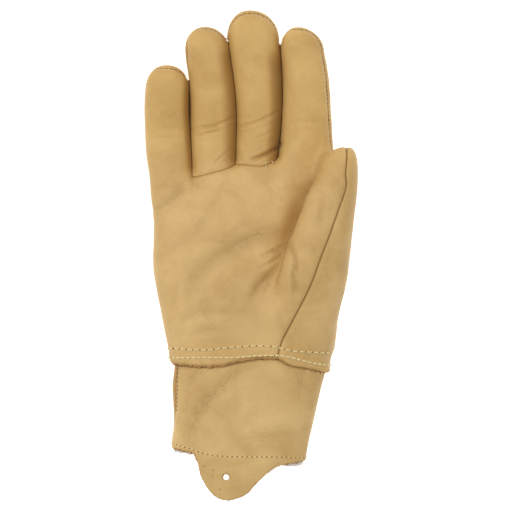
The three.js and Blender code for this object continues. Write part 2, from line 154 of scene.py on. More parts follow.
# x, y, half length, half width, turn in degrees, depth
HOLLOWS = [
    (33, 22, 26, 15, 62, 6.5), (-6, 0, 34, 8, 26, 1.8), (8, -26, 16, 8, 50, 2.0),
    (-40, 30, 18, 7, 48, 1.2), (26.5, 18, 22, 6, 69, 6.5), (15, -13, 13, 4.5, 72, 3.2),
]
# The hollows end between these x, out of sight below the thumb
UNDER_THUMB_X = (38.0, 31.0)

# y, left, right, bottom, top
CUFF_ROWS = [
    (-50, -46.6, 46.6, 3.0, 29.4), (-63, -45.2, 45.6, 2.9, 29.2), (-71, -46.4, 44.5, 2.9, 29.2),
    (-78, -47.2, 42.4, 1.2, 29.2), (-92, -46.4, 39.2, 0.0, 28.6), (-103, -46.2, 36.8, 0.0, 28.0),
    (-111, -47.7, 34.8, 0.0, 27.6), (-128, -47.8, 32.0, 0.0, 26.4), (-152, -47.0, 31.0, 0.0, 23.4),
]
# How far the cuff's section reaches below the floor, which flattens it
CUFF_SINK = 1.6
CUFF_TOP_Y = -50.0
# Above this height a point of the cuff shows from the front
CUFF_FRONT_Z = 12.0
# The cuff's folds set in between these heights over its middle, and end between these y, below the hem
CUFF_FOLDED_Z = (-4.0, 6.0)
UNDER_HEM_Y = (-74.0, -66.0)
# Above this height the cuff's raw edge slants
CUFF_LEAN_Z = 8.0
# y, and the height of the cuff's side seam at this reach to the left and the right
CUFF_SEAM_REACH = 90.0
CUFF_SEAM = [
    (-40, 22.0, 14.0), (-74, 22.0, 14.0), (-85, 21.2, 13.8), (-95, 18.5, 13.5), (-103, 15.5, 13.2),
    (-111, 14.5, 13.0), (-152, 13.0, 12.0),
]

HEM_LINE = [
    (-90, -64.7), (-48.4, -64.7), (-46, -65.6), (-35.4, -66.6), (-24.6, -66.9), (-15.4, -66.1),
    (-7, -63.5), (4.4, -62.1), (14.4, -61.5), (22, -65.7), (29.7, -66.8), (38, -68.6), (44.0, -70.2),
    (47.4, -70.1), (90, -70.0),
]
CUFF_FRONT_EDGE = [
    (-60, -113.2), (-47.4, -115.4), (-40.8, -117.1), (-34.2, -118.2), (-33.0, -120.6), (-30.9, -126.3),
    (-30.0, -132.3), (-25.8, -139.5), (-20.4, -144.9), (-14.4, -146.8), (-9.0, -145.5), (-4.8, -143.7),
    (-2.4, -142.5), (0.6, -139.2), (6.4, -132.9), (11.4, -128.7), (15.6, -126.0), (20.0, -125.0),
    (25.0, -124.4), (30.0, -123.7), (32.2, -122.2), (33.0, -119.8), (60, -119.8),
]
CUFF_BACK_EDGE = [(-60, -114.3), (44, -124.3)]
LINING_EDGE = [
    (-60, -115.2), (-47, -117.2), (-40.5, -118.6), (-34, -119.0), (-20, -121), (15, -124.6),
    (20, -125.7), (25.3, -126.0), (30.6, -125.4), (44, -124.4),
]
# x, y, radius
HANG_HOLE = (-14.9, -132.6, 2.1)

THUMB_SEAM = [
    (56.8, 80), (56.8, 64.0), (57.2, 60.0), (56.9, 55.0), (56.3, 50.0), (56.2, 47.0), (56.8, 43.5),
    (56.5, 39.8), (55.0, 35.0), (52.6, 28.7), (49.6, 20.0), (46.5, 11.0), (41.8, -0.6), (35.6, -18.5),
    (25.0, -38.7), (15.2, -57.0), (14.6, -90),
]
RING_BASE = front(
    (192.4, 177.2), (194.5, 177.5), (203, 175.7), (212, 173.3), (221, 171), (229.7, 168.2),
    (235.4, 164.8),
)
MIDDLE_BASE = front(
    (235.4, 164.8), (241.5, 164.7), (250.3, 165.9), (259.1, 166.9), (266.4, 165.6), (271.6, 163.0),
    (275.6, 160.6), (277.6, 157.0), (278.6, 152.0),
)
SIDE_SEAM = dict(low=12.8, high=18.8, low_x=-64.0, high_x=48.0)
THUMB_BACK_SEAM = [(-80, 5.0), (-40, 5.0), (0, 6.0), (22, 8.0), (36, 14.0), (80, 17.0)]
FORCHETTE = dict(base=11.0, tip=3.0, web_depth=8.0, short_of_tip=9.0)
# The y at which the middle between two fingers is measured
WEB_MEASURED_Y = 55.0

# From this far the leather sinks to a seam
SEAM_REACH = 1.7
# How much a panel's leather goes on below a seam, and how deep in the wall it starts to
SEAM_ALLOWANCE = 0.3
ALLOWANCE_DEPTH = (-0.3, -1.1)
EDGE_ROUNDNESS = 0.5
# How near to its limit a raw edge shows, and how deep below the grain in the hand and in the cuff
RAW_EDGE = (-0.6, -0.15)
HAND_RAW_DEPTH = (-0.1, -0.35)
CUFF_RAW_DEPTH = (-0.05, -0.3)
# Where a panel's inside is fleece: this share of the wall deep, and this far from a seam and from the hem
FLEECE_FROM = dict(wall=0.85, seam=0.8, hem=1.6)
# The slant of the hand's raw hem, and how much more it has left of the thumb's seam, from which x to which
HEM_LEAN = 0.2
HEM_LEAN_LEFT = (0.90, 25.0, 17.0)
# The same for the cuff's mouth, with more to the left and to the right of its tab
CUFF_LEAN = 0.35
CUFF_LEAN_SIDES = ((1.1, -31.0, -36.0), (0.5, 17.0, 21.0))
# Where the back's raw edge shows beside the cuff's front: from which x, y and z to which it sets in
SIDE_STRIP = ((-38.0, -42.0), (-97.0, -88.0), (6.0, 11.0))
# The thumb's faces are this much wider than those of the other small panels
THUMB_PITCH = 1.1
# How far from the skin open air is looked for, and how often the shelter found is spread to the next points
SHELTER_REACHES = (3.0, 6.0, 10.0, 15.0)
SHELTER_ROUNDS = 40
# The shade of a finger's flank fades in over these lengths from its two ends, is full at this share of the
# finger's width, and fades out beyond the middle of the gap to the next finger
FLANK_FADES = (26.0, 16.0)
FLANK_FULL = 0.97
GAP_FADE = (0.7, -0.1)
# From which share of closed air to which a point is sheltered and takes painted shade, how much of it sides
# that face left have, as they face the key light, and how much of it is taken off beside the thumb's tip
SHELTER_SHARES = (0.12, 0.85)
SHELTER_FACING_LEFT = 0.22
SHELTER_OFF_AT_THUMB = 0.8


# Smooth numbers
def bell(distance, width):
    return np.exp(-(distance / width) ** 2)


def soft_min(a, b, reach):
    h = np.maximum(reach - np.abs(a - b), 0.0) / reach
    return np.minimum(a, b) - h * h * reach * 0.25


def soft_max(a, b, reach):
    return -soft_min(-a, -b, reach)


def smooth_step(low, high, value):
    t = np.clip((value - low) / (high - low), 0.0, 1.0)
    return t * t * (3.0 - 2.0 * t)


class Along:
    """Columns of sizes that run smoothly along the glove."""

    step = 0.5
    reach = 24

    def __init__(self, rows, names, spread=4.0):
        self.at = np.arange(-175.0, 185.0, self.step)
        apart = np.arange(-self.reach, self.reach + 1) * self.step
        weight = np.exp(-0.5 * (apart / spread) ** 2)
        weight /= weight.sum()
        rows = sorted(rows)
        place = [row[0] for row in rows]
        self.columns = {}
        for number, name in enumerate(names, start=1):
            raw = np.interp(self.at, place, [row[number] for row in rows])
            self.columns[name] = np.convolve(np.pad(raw, self.reach, mode="edge"), weight, mode="valid")

    def __call__(self, name, y):
        return np.interp(y, self.at, self.columns[name])

    def edges(self, y):
        return self("left", y), self("right", y)

    def middle(self, y):
        left, right = self.edges(y)
        return (left + right) / 2


FINGER_SIZES = {name: Along(f["rows"], ("left", "right")) for name, f in FINGERS.items()}
THUMB_SIZES = Along(THUMB_ROWS, ("left", "right", "z", "depth"))
PALM_SIZES = Along(PALM_ROWS, ("left", "right", "top", "sink"))
CUFF_SIZES = Along(CUFF_ROWS, ("left", "right", "bottom", "top"), 2.5)
CUFF_SEAM_SIZES = Along(CUFF_SEAM, ("left", "right"))
THUMB_BACK_SIZES = Along(THUMB_BACK_SEAM, ("z",))


# Distance fields
def section(x, z, middle_x, middle_z, wide, deep, fullness):
    """A rounded section: its measure, 1 on the surface, and how fast that grows for each millimetre."""
    u = np.abs(x - middle_x) / wide + 1e-4
    v = np.abs(z - middle_z) / deep + 1e-4
    measure = np.maximum((u ** fullness + v ** fullness) ** (1.0 / fullness), 0.12)
    steep = np.sqrt((u ** (fullness - 1) / wide) ** 2 + (v ** (fullness - 1) / deep) ** 2)
    return measure, steep * measure ** (1.0 - fullness)


def tube(x, z, left, right, middle_z, deep, fullness):
    """Distance to an open tube along Y."""
    measure, steep = section(x, z, (left + right) / 2, middle_z, (right - left) / 2, deep, fullness)
    return np.maximum((measure - 1.0) / steep, -deep)


def stall_field(x, y, z, sizes, middle_z, deep, tip, last_y):
    """Distance to a finger's tube along Y, rounded from the last row of its sizes to its tip."""
    left, right = sizes.edges(y)
    wide = (right - left) / 2
    length = tip[1] - last_y
    on = np.clip((y - last_y) / length, 0.0, 1.0) ** 2
    middle_x = (left + right) / 2 * (1 - on) + tip[0] * on
    measure, steep = section(x, z, middle_x, middle_z, wide, deep, FINGER_FULLNESS)
    out = np.maximum((y - last_y) / length, 0.0)
    q = TIP_FULLNESS
    whole = (measure ** q + out ** q) ** (1.0 / q)
    slope = whole ** (1 - q) * np.sqrt((measure ** (q - 1) * steep) ** 2 + (out ** (q - 1) / length) ** 2)
    return np.maximum((whole - 1.0) / slope, -np.minimum(wide, deep))


def finger_height(name, y):
    """How far out along a finger y lies, from 0 to about 1, and how high the finger's middle is there."""
    finger = FINGERS[name]
    out = np.maximum(y - KNUCKLE_Y, 0.0) / FINGER_REACH
    return out, FINGER_BASE_Z + finger["base"] + finger["lift"] * out * out


def finger_field(name, x, y, z):
    finger = FINGERS[name]
    out, middle_z = finger_height(name, y)
    deep = FINGER_DEPTH[0] + (FINGER_DEPTH[1] - FINGER_DEPTH[0]) * out
    field = stall_field(x, y, z, FINGER_SIZES[name], middle_z, deep, finger["tip"], finger["rows"][-1][0])
    root_y, fading = FINGER_ROOT
    return field + fading * np.maximum(root_y - y, 0.0) ** 2


def thumb_field(x, y, z):
    middle_z, deep = THUMB_SIZES("z", y), THUMB_SIZES("depth", y)
    field = stall_field(x, y, z, THUMB_SIZES, middle_z, deep, THUMB_TIP, THUMB_ROWS[-1][0])
    root_y, fading = THUMB_ROOT
    return field + fading * np.maximum(root_y - y, 0.0)


def hollow_depth(x, y):
    """How far the palm's top sinks."""
    depth = 0.0
    for hx, hy, along, across, turn, deep in HOLLOWS:
        cos, sin = math.cos(math.radians(turn)), math.sin(math.radians(turn))
        u = ((x - hx) * cos + (y - hy) * sin) / along
        v = ((y - hy) * cos - (x - hx) * sin) / across
        depth = depth + deep * np.exp(-(u * u + v * v))
    return depth * smooth_step(*UNDER_THUMB_X, x)


WEB_X, WEB_Y = zip(*WEB_LINE)


def palm_field(x, y, z):
    left, right = PALM_SIZES.edges(y)
    top, sink = PALM_SIZES("top", y), PALM_SIZES("sink", y)
    middle_z = (top - sink) / 2
    deep = (top + sink) / 2
    rise = np.clip((z - middle_z) / deep, 0.0, 1.2)
    pressed = z + hollow_depth(x, y) * rise
    field = tube(x, pressed, left, right, middle_z, deep, PALM_FULLNESS)
    return soft_max(field, y - np.interp(x, WEB_X, WEB_Y), PALM_END_BLEND)


def on_floor(field, z, floor_z=0.0):
    """A field made flat where it would pass through the floor."""
    return soft_max(field, floor_z - z, FLOOR_BLEND)


def hand_body(x, y, z):
    """The whole hand before its creases: outside is positive."""
    fingers = None
    for name in FINGERS:
        one = finger_field(name, x, y, z)
        fingers = one if fingers is None else soft_min(fingers, one, FINGER_BLEND)
    hand = soft_min(palm_field(x, y, z), fingers, KNUCKLE_BLEND)
    blend = THUMB_BLEND["seam"] + THUMB_BLEND["root"] * smooth_step(*THUMB_ROOT_Y, y)
    blend = blend + THUMB_BLEND["tip"] * smooth_step(*THUMB_TIP_Y, y)
    on_outer_side = smooth_step(*THUMB_OUTER_X, x) * smooth_step(*THUMB_OUTER_Y, y)
    blend = blend + THUMB_BLEND["outer_side"] * on_outer_side
    return on_floor(soft_min(hand, thumb_field(x, y, z), blend), z)


# Maps over the front view
class Map:
    """A height or distance over the front view, read between its grid points."""

    step = 0.3
    low = (-80.0, -160.0)
    size = (540, 1080)

    def __init__(self, values):
        self.values = values

    @classmethod
    def grid(cls):
        x = cls.low[0] + cls.step * np.arange(cls.size[0])
        y = cls.low[1] + cls.step * np.arange(cls.size[1])
        return np.meshgrid(x, y, indexing="ij")

    def __call__(self, x, y):
        u, v = np.broadcast_arrays((x - self.low[0]) / self.step, (y - self.low[1]) / self.step)
        u = np.clip(u, 0.0, self.size[0] - 1.001)
        v = np.clip(v, 0.0, self.size[1] - 1.001)
        i = u.astype(np.int32)
        j = v.astype(np.int32)
        u = u - i
        v = v - j
        m = self.values
        low = m[i, j] * (1 - u) + m[i + 1, j] * u
        high = m[i, j + 1] * (1 - u) + m[i + 1, j + 1] * u
        return low * (1 - v) + high * v


GRID = Map.grid()


def line_distance(points, x, y):
    """Distance to a bent line, the nearest point's place along it, 0 to 1, and the side, 1 or -1."""
    points = np.array(points, float)
    steps = np.hypot(*np.diff(points, axis=0).T)
    total = steps.sum()
    best = np.full(x.shape, 1e9)
    along = np.zeros(x.shape)
    side = np.ones(x.shape)
    start = 0.0
    for (ax, ay), (bx, by), length in zip(points[:-1], points[1:], steps):
        dx, dy = (bx - ax) / length, (by - ay) / length
        t = np.clip((x - ax) * dx + (y - ay) * dy, 0.0, length)
        distance = np.hypot(x - ax - t * dx, y - ay - t * dy)
        nearer = distance < best
        best = np.where(nearer, distance, best)
        along = np.where(nearer, (start + t) / total, along)
        side = np.where(nearer, np.where((y - ay) * dx > (x - ax) * dy, 1.0, -1.0), side)
        start += length
    return best, along, side


def outline_map(points):
    """Signed distance to a closed outline, negative inside it."""
    x, y = GRID
    closed = list(points) + [points[0]]
    distance, _, _ = line_distance(closed, x, y)
    inside = np.zeros(x.shape, bool)
    for (ax, ay), (bx, by) in zip(closed[:-1], closed[1:]):
        if ay == by:
            continue
        crosses = (y < ay) != (y < by)
        inside ^= crosses & (x < ax + (y - ay) * (bx - ax) / (by - ay))
    return Map(np.where(inside, -distance, distance))


def smooth_line(points, rounds=2):
    """Cuts a bent line's corners."""
    points = [tuple(p) for p in points]
    for _ in range(rounds):
        cut = [points[0]]
        for (ax, ay), (bx, by) in zip(points[:-1], points[1:]):
            cut += [(ax * (1 - t) + bx * t, ay * (1 - t) + by * t) for t in (0.25, 0.75)]
        points = cut + [points[-1]]
    return points


def blurred(values, spread):
    """A map blurred over spread millimetres."""
    fx = np.fft.fftfreq(values.shape[0], Map.step)[:, None]
    fy = np.fft.rfftfreq(values.shape[1], Map.step)[None, :]
    soft = np.exp(-2.0 * (math.pi * spread) ** 2 * (fx * fx + fy * fy))
    return np.fft.irfft2(np.fft.rfft2(values) * soft, s=values.shape)


def waves(seed, spread):
    """Gentle unevenness of one size, between about -1 and 1."""
    made = blurred(np.random.default_rng(seed).standard_normal(Map.size), spread)
    return made / (2.0 * made.std())


def uneven(*layers):
    """Unevenness in layers, each with its seed, height and spread in millimetres."""
    return sum(height * waves(seed, spread) for seed, height, spread in layers)


def seam_height_map():
    """Height of the seam between the palm side and the back: low between fingers, high round their tips."""
    x, y = GRID
    t = (x - SIDE_SEAM["low_x"]) / (SIDE_SEAM["high_x"] - SIDE_SEAM["low_x"])
    height = SIDE_SEAM["low"] + (SIDE_SEAM["high"] - SIDE_SEAM["low"]) * np.clip(t, -0.1, 1.1)
    along = y[0]
    edges = [FINGER_SIZES[name].edges(along) for name in FINGERS]
    beyond = np.full(along.shape, 200.0)
    bounds = [-beyond, *((a[1] / 2 + b[0] / 2) for a, b in zip(edges[:-1], edges[1:])), beyond]
    for number, (name, finger) in enumerate(FINGERS.items()):
        left_edge, right_edge = edges[number]
        left, right = finger["seam"]
        tip_left, tip_top, tip_right = finger["tip_seam"]
        across = np.clip((x - left_edge) / (right_edge - left_edge), 0.0, 1.0)
        last_y = finger["rows"][-1][0]
        to_tip = smooth_step(last_y - 3.0, last_y + 0.55 * (finger["tip"][1] - last_y), along)
        at_tip = tip_left + (tip_top - tip_left) * smooth_step(0.05, 0.42, across)
        at_tip = at_tip + (tip_right - tip_top) * smooth_step(0.6, 1.0, across)
        offset = (left + (right - left) * across) * (1 - to_tip) + at_tip * to_tip
        own = (x >= bounds[number]) & (x < bounds[number + 1]) & (y > KNUCKLE_Y + 6)
        height = np.where(own, finger_height(name, along)[1] + offset, height)
    return Map(blurred(height, 1.3))


# Folds of the palm side, drawn in the front view.
# Each: half width, depth of the groove, height of the leather's roll beside it, then the points.
PALM_FOLDS = [
    # finger bends
    (1.0, 0.45, 0.30, [(192, 129), (204, 128), (216, 126), (226, 122), (235, 117)]),
    (0.9, 0.28, 0.18, [(196, 137), (208, 134), (222, 131)]),
    (1.0, 0.50, 0.32, [(237, 127.5), (247.4, 125.4), (257.6, 122.5), (270.8, 116.6), (279, 112)]),
    (0.9, 0.25, 0.18, [(252, 139), (263, 136), (275, 131)]),
    (1.1, 2.20, 0.25, [
        (281, 143), (278.4, 146.4), (274.5, 149.6), (270.8, 152.2), (266, 154.6), (259, 157.8),
        (251, 160.5)]),
    (1.1, 0.25, 0.18, [(285, 124), (298, 122), (312, 123), (326, 121)]),
    (1.0, 0.22, 0.18, [(146, 142), (158, 138), (170, 137), (182, 139)]),
    (0.9, 0.25, 0.15, [(214, 165), (222, 157), (233, 148)]),
    # palm
    (2.2, 0.50, 0.25, [(190, 177), (182, 191), (170, 202), (155, 210)]),
    (1.8, 0.28, 0.14, [(228, 173), (225, 184), (218, 198), (210, 209), (203, 220), (200, 234)]),
    (5.2, 1.50, 0.30, [(284, 232), (266, 234), (247, 241), (232, 249), (216, 259), (203, 270), (194, 284)]),
    (0.8, 0.20, 0.10, [(268, 232.6), (256, 235.6), (244, 240.6), (233, 246.6)]),
    (1.2, 0.80, 0.40, [(285.5, 246), (277, 249.5), (267, 254.5), (257, 260)]),
    (1.1, 0.70, 0.35, [(281.5, 256), (275, 260), (267, 265), (258, 269)]),
    (2.8, 1.60, 0.50, [(278, 268.5), (271, 273.5), (264, 281), (257, 290), (252, 299)]),
    (1.4, 0.60, 0.30, [(274, 283), (268, 288), (262, 296)]),
    (2.4, 0.40, 0.20, [(180, 322), (198, 314), (216, 311), (234, 314)]),
    (2.0, 0.30, 0.15, [(188, 336), (206, 330), (226, 330)]),
    # thumb
    (1.5, 1.45, 0.35, [(289, 247), (294, 257), (295.5, 267), (293, 277), (294.5, 286), (294, 299)]),
    (0.6, 0.50, 0.10, [(295, 262), (297, 271), (297.5, 281)]),
    (2.2, 0.70, 0.15, [(320.7, 200), (321.5, 212), (319, 226)]),
    (1.6, 0.35, 0.12, [(314.6, 243), (313.6, 250), (314.4, 257)]),
    # hem
    (0.9, 0.60, 0.30, [(277.5, 360), (282, 362.6), (287, 365), (293, 366.6)]),
]
# x, y, radius, depth (a rise where negative)
PALM_DENTS = [
    (262, 218, 16, 0.9), (236, 198, 15, -0.8), (206, 214, 14, -0.6), (206, 256, 16, -0.7),
    (238, 286, 14, -0.7), (317, 205, 5, 0.4), (283, 312, 12, -0.7), (222, 336, 14, -0.5),
    (284, 182, 9, -0.8), (256, 152, 9, -0.5), (210, 152, 9, -0.5), (163, 112, 9, -0.4),
    (305, 150, 10, -0.4),
]
CUFF_FOLDS = [
    (4.2, 0.90, 0.30, [(240, 362), (229, 378), (214, 394), (203, 406), (195, 420), (190, 436), (190, 448)]),
    (2.4, 0.35, 0.20, [(208, 364), (198, 374), (186, 386)]),
    (2.4, 0.30, 0.15, [(300, 366), (302, 380), (304, 396)]),
    (2.6, 0.25, 0.15, [(243, 441), (262, 435), (282, 434), (302, 437)]),
    (1.4, 0.25, 0.15, [(283, 462), (274, 465), (266, 471)]),
]
# Bundles of fine wrinkles in the front view: half width, strength, space between the lines, the points.
PALM_WRINKLES = [
    (3.0, 0.8, 1.5, [(194, 130), (210, 127), (222, 122.5), (234, 117)]),
    (2.6, 0.7, 1.5, [(239, 127), (252, 124), (266, 118), (278, 112)]),
    (4.0, 0.6, 1.7, [(212, 168), (221, 159), (233, 149)]),
    (3.0, 0.6, 1.4, [(279, 142), (270, 152), (258, 159)]),
    (5.0, 0.6, 1.9, [(252, 174), (262, 184), (274, 197), (286, 212)]),
    (4.0, 0.6, 1.9, [(190, 177), (182, 191), (170, 202), (155, 210)]),
    (3.6, 0.5, 2.0, [(228, 173), (225, 184), (218, 198), (210, 209), (203, 220), (200, 234)]),
    (3.0, 0.8, 1.5, [(276, 231), (262, 234), (248, 239), (234, 246)]),
    (3.6, 1.0, 1.4, [(289, 246), (276, 252), (262, 260)]),
    (3.4, 0.8, 1.6, [(280, 268), (268, 277), (258, 289), (252, 300)]),
    (2.6, 0.9, 1.3, [(292, 252), (295, 262), (295, 276), (295, 290), (294, 300)]),
    (5.0, 0.35, 2.2, [(180, 300), (200, 318), (226, 330)]),
]
CUFF_WRINKLES = [
    (4.6, 1.0, 1.7, [
        (244, 362), (236, 370), (229.7, 378), (222, 387), (213, 395), (205, 404), (198, 414),
        (194, 425), (192, 437), (193, 450)]),
    (5.0, 0.7, 1.9, [(214, 362), (202, 372), (189, 384)]),
    (4.0, 0.8, 1.7, [(298, 366), (301, 380), (303, 396)]),
    (3.6, 0.5, 1.8, [(243, 441), (262, 435), (282, 434), (302, 437)]),
    (3.0, 0.7, 1.6, [(286, 456), (276, 463), (264, 474)]),
]
# In half widths of a fold: how far it reaches, and the place and the half width of the leather's roll beside it
FOLD_REACH = 6.0
ROLL_PLACE = 2.1
ROLL_WIDTH = 1.2
# How far a bundle reaches in its half widths, how long a wrinkle is, and how far each pattern is from the last
BUNDLE_REACH = 2.2
WRINKLE_LENGTH = 10.0
BUNDLE_SHIFT = 7.0


def round_line(points, margin):
    """The window of the maps round a line of the front view, the line, and its distances in the window."""
    line = smooth_line(front(*points))
    low = (np.min(line, 0) - margin - Map.low) / Map.step
    high = (np.max(line, 0) + margin - Map.low) / Map.step
    window = tuple(slice(max(int(a), 0), int(b)) for a, b in zip(low, high))
    return window, line, line_distance(line, GRID[0][window], GRID[1][window])


def fold_relief(folds):
    """How far the leather's surface sinks at each point of the front view."""
    sunk = np.zeros(Map.size)
    for wide, deep, roll, points in folds:
        window, _, (distance, along, _) = round_line(points, FOLD_REACH * wide)
        taper = np.sin(np.pi * np.clip(along, 0.02, 0.98)) ** 0.45
        rolls = roll * bell(distance - ROLL_PLACE * wide, ROLL_WIDTH * wide)
        sunk[window] += taper * (deep * bell(distance, wide) - rolls)
    return sunk


def wrinkle_maps(bundles):
    """For the fine wrinkles: the place across and along the nearest bundle, and how strong it is."""
    maps = np.zeros((3, *Map.size))
    for number, (wide, strength, space, points) in enumerate(bundles):
        window, line, (distance, along, side) = round_line(points, BUNDLE_REACH * wide)
        length = np.hypot(*np.diff(np.array(line), axis=0).T).sum()
        mask = strength * bell(distance, wide) * np.sin(np.pi * np.clip(along, 0.03, 0.97)) ** 0.5
        stronger = mask > maps[2][window]
        place = (distance * side / space, along * length / WRINKLE_LENGTH + BUNDLE_SHIFT * number, mask)
        for layer, values in zip(maps, place):
            layer[window] = np.where(stronger, values, layer[window])
    return [Map(one) for one in maps]


def dent_relief(dents):
    sunk = np.zeros(Map.size)
    for px, py, radius, deep in dents:
        ((x, y),) = front((px, py))
        sunk += deep * np.exp(-((GRID[0] - x) ** 2 + (GRID[1] - y) ** 2) / (radius * GRID_STEP) ** 2)
    return sunk


side_seam_height = seam_height_map()

PALM_RELIEF = Map(
    fold_relief(PALM_FOLDS) + dent_relief(PALM_DENTS) + uneven((11, 0.17, 7.0), (12, 0.05, 2.2))
)
BACK_RELIEF = Map(uneven((21, 0.40, 7.0), (22, 0.10, 2.4)))
EDGE_WEAR = Map(uneven((51, 0.22, 1.1)))
PALM_WRINKLE_MAPS = wrinkle_maps(PALM_WRINKLES)
CUFF_WRINKLE_MAPS = wrinkle_maps(CUFF_WRINKLES)
CUFF_RELIEF = Map(fold_relief(CUFF_FOLDS) + uneven((31, 0.22, 7.0), (32, 0.06, 2.2)))
# How deep the leather lies in its folds, for painted shade in the folds' colour
PALM_CREASE_SHADE = Map(np.clip(fold_relief(PALM_FOLDS), 0, None) / 2.2)
CUFF_CREASE_SHADE = Map(np.clip(fold_relief(CUFF_FOLDS), 0, None) / 2.6)


# The seams' regions, negative inside. Corners beyond the glove close their outlines.
def outline_of_front(low, name, high, base):
    """The cell that a set-in finger front fills, seen from the palm side."""
    stations = [60, 67, 75, 83, 91, 99, 108, 117, 125, 132, 160]
    sizes = FINGER_SIZES
    left = [((sizes[low]("right", y) + sizes[name]("left", y)) / 2, y) for y in stations]
    right = [((sizes[name]("right", y) + sizes[high]("left", y)) / 2, y) for y in stations]
    return left[::-1] + smooth_line(base) + right


HEM_MAP = outline_map([(-120, 200), *smooth_line(HEM_LINE), (120, 200)])
THUMB_MAP = outline_map([*smooth_line(THUMB_SEAM), (120, -90), (120, 80)])
FRONT_MAPS = {
    "ring": outline_map(outline_of_front("little", "ring", "middle", RING_BASE)),
    "middle": outline_map(outline_of_front("ring", "middle", "index", MIDDLE_BASE)),
}
CUFF_FRONT_MAP = outline_map([(-60, 60), *smooth_line(CUFF_FRONT_EDGE, 1), (60, 60)])
CUFF_BACK_MAP = outline_map([(-60, 60), *CUFF_BACK_EDGE, (60, -125.8), (60, 60)])
LINING_MAP = outline_map([(-60, 60), *LINING_EDGE, (60, -123.0), (60, 60)])


def palm_side(x, y, z):
    return side_seam_height(x, y) - z


def thumb_outer_side(x, y, z):
    return np.maximum(THUMB_MAP(x, y), THUMB_BACK_SIZES("z", y) - z)


def finger_front_cell(name, x, y, z):
    return np.maximum(FRONT_MAPS[name](x, y), palm_side(x, y, z))


def forchette_band(low, high, x, y, z):
    left, right = FINGER_SIZES[low].middle(y), FINGER_SIZES[high].middle(y)
    web_edges = FINGER_SIZES[low]("right", WEB_MEASURED_Y) + FINGER_SIZES[high]("left", WEB_MEASURED_Y)
    web_x = float(web_edges / 2)
    start = np.interp(web_x, WEB_X, WEB_Y) - FORCHETTE["web_depth"]
    end = min(FINGERS[low]["tip"][1], FINGERS[high]["tip"][1]) - FORCHETTE["short_of_tip"]
    t = np.clip((y - start) / (end - start), 0.0, 1.0)
    wide = FORCHETTE["base"] + (FORCHETTE["tip"] - FORCHETTE["base"]) * t
    seam = side_seam_height(x, y)
    sides = np.maximum(left - x, x - right)
    ends = np.maximum(start - y, y - end)
    return np.maximum(np.maximum(sides, ends), np.maximum(z - seam, seam - wide - z))


def hand_front_region(x, y, z):
    region = np.maximum(palm_side(x, y, z), -thumb_outer_side(x, y, z))
    for name in FRONT_MAPS:
        region = np.maximum(region, -finger_front_cell(name, x, y, z))
    return region


FORCHETTE_PAIRS = [("little", "ring"), ("ring", "middle"), ("middle", "index")]


def back_region(x, y, z):
    region = np.maximum(-palm_side(x, y, z), -thumb_outer_side(x, y, z))
    for low, high in FORCHETTE_PAIRS:
        region = np.maximum(region, -forchette_band(low, high, x, y, z))
    return region


def hem_cut(x, y, outer, wall):
    """Distance to the hem's raw edge, which slants so that it shows from the front."""
    more, low_x, high_x = HEM_LEAN_LEFT
    lean = HEM_LEAN + more * smooth_step(low_x, high_x, x)
    return HEM_MAP(x, y) + lean * (np.clip(outer, -wall, 0.0) + 0.7 * wall) + EDGE_WEAR(x, y)


def flank_shade(piece, x, y):
    """How much of the painted shade between the fingers lies on a point, seen from the palm side."""
    if piece not in SHADED_FLANKS:
        return np.zeros(x.shape)
    name, start, strength, low_y, high_y = SHADED_FLANKS[piece]
    names = list(FINGERS)
    left, right = FINGER_SIZES[name].edges(y)
    next_left = FINGER_SIZES[names[names.index(name) + 1]]("left", y)
    across = (x - left) / (right - left)
    (_, low), (_, high) = front((0, low_y), (0, high_y))
    along = smooth_step(low, low + FLANK_FADES[0], y) * smooth_step(high, high - FLANK_FADES[1], y)
    own = smooth_step(*GAP_FADE, x - (right + next_left) / 2) * (across > start)
    return own * strength * along * smooth_step(start, FLANK_FULL, across)


def spread_over(values, quads, rounds):
    """Values of a mesh's points, blended with their neighbours'."""
    count = np.bincount(quads.ravel(), minlength=len(values))
    for _ in range(rounds):
        total = np.bincount(quads.ravel(), np.repeat(values[quads].mean(1), 4), len(values))
        values = total / np.maximum(count, 1)
    return values


def unit(slope):
    return slope / np.maximum(np.linalg.norm(slope, axis=1), 1e-9)[:, None]


def sheltered(points, field):
    """How deep points lie in hollows and between fingers, from 0 in the open to 1: the strength of painted
    shade.
    """
    out = unit(slope_of(field, points)[1])
    closed = np.zeros(len(points))
    for reach in SHELTER_REACHES:
        away = field(*(points + out * reach).T)
        closed += np.clip((reach - away) / reach, 0.0, 1.2) / len(SHELTER_REACHES)
    beside_thumb_tip = smooth_step(20.0, 46.0, points[:, 1]) * smooth_step(22.0, 38.0, points[:, 0])
    # Sides that face left, towards the key light, take less of the painted shade
    turned = SHELTER_FACING_LEFT + (1.0 - SHELTER_FACING_LEFT) * smooth_step(-0.45, 0.35, out[:, 0])
    return smooth_step(*SHELTER_SHARES, closed) * turned * (1.0 - SHELTER_OFF_AT_THUMB * beside_thumb_tip)


def hand_relief(x, y, z):
    """How far the leather sinks: by the palm's folds above the side seam, by the back's waves below it."""
    upper = smooth_step(-3.0, 3.0, z - side_seam_height(x, y))
    return BACK_RELIEF(x, y) + upper * (PALM_RELIEF(x, y) - BACK_RELIEF(x, y))


def hand_leather(x, y, z, seam, dip):
    """The hand's outer surface: leather that sinks towards its seams and lies flat on the floor."""
    return on_floor(hand_body(x, y, z) + hand_relief(x, y, z) + dip * bell(seam, SEAM_REACH), z)


def wall_of(outer, wall):
    """A wall that lies inside a surface."""
    return np.abs(outer + wall / 2) - wall / 2


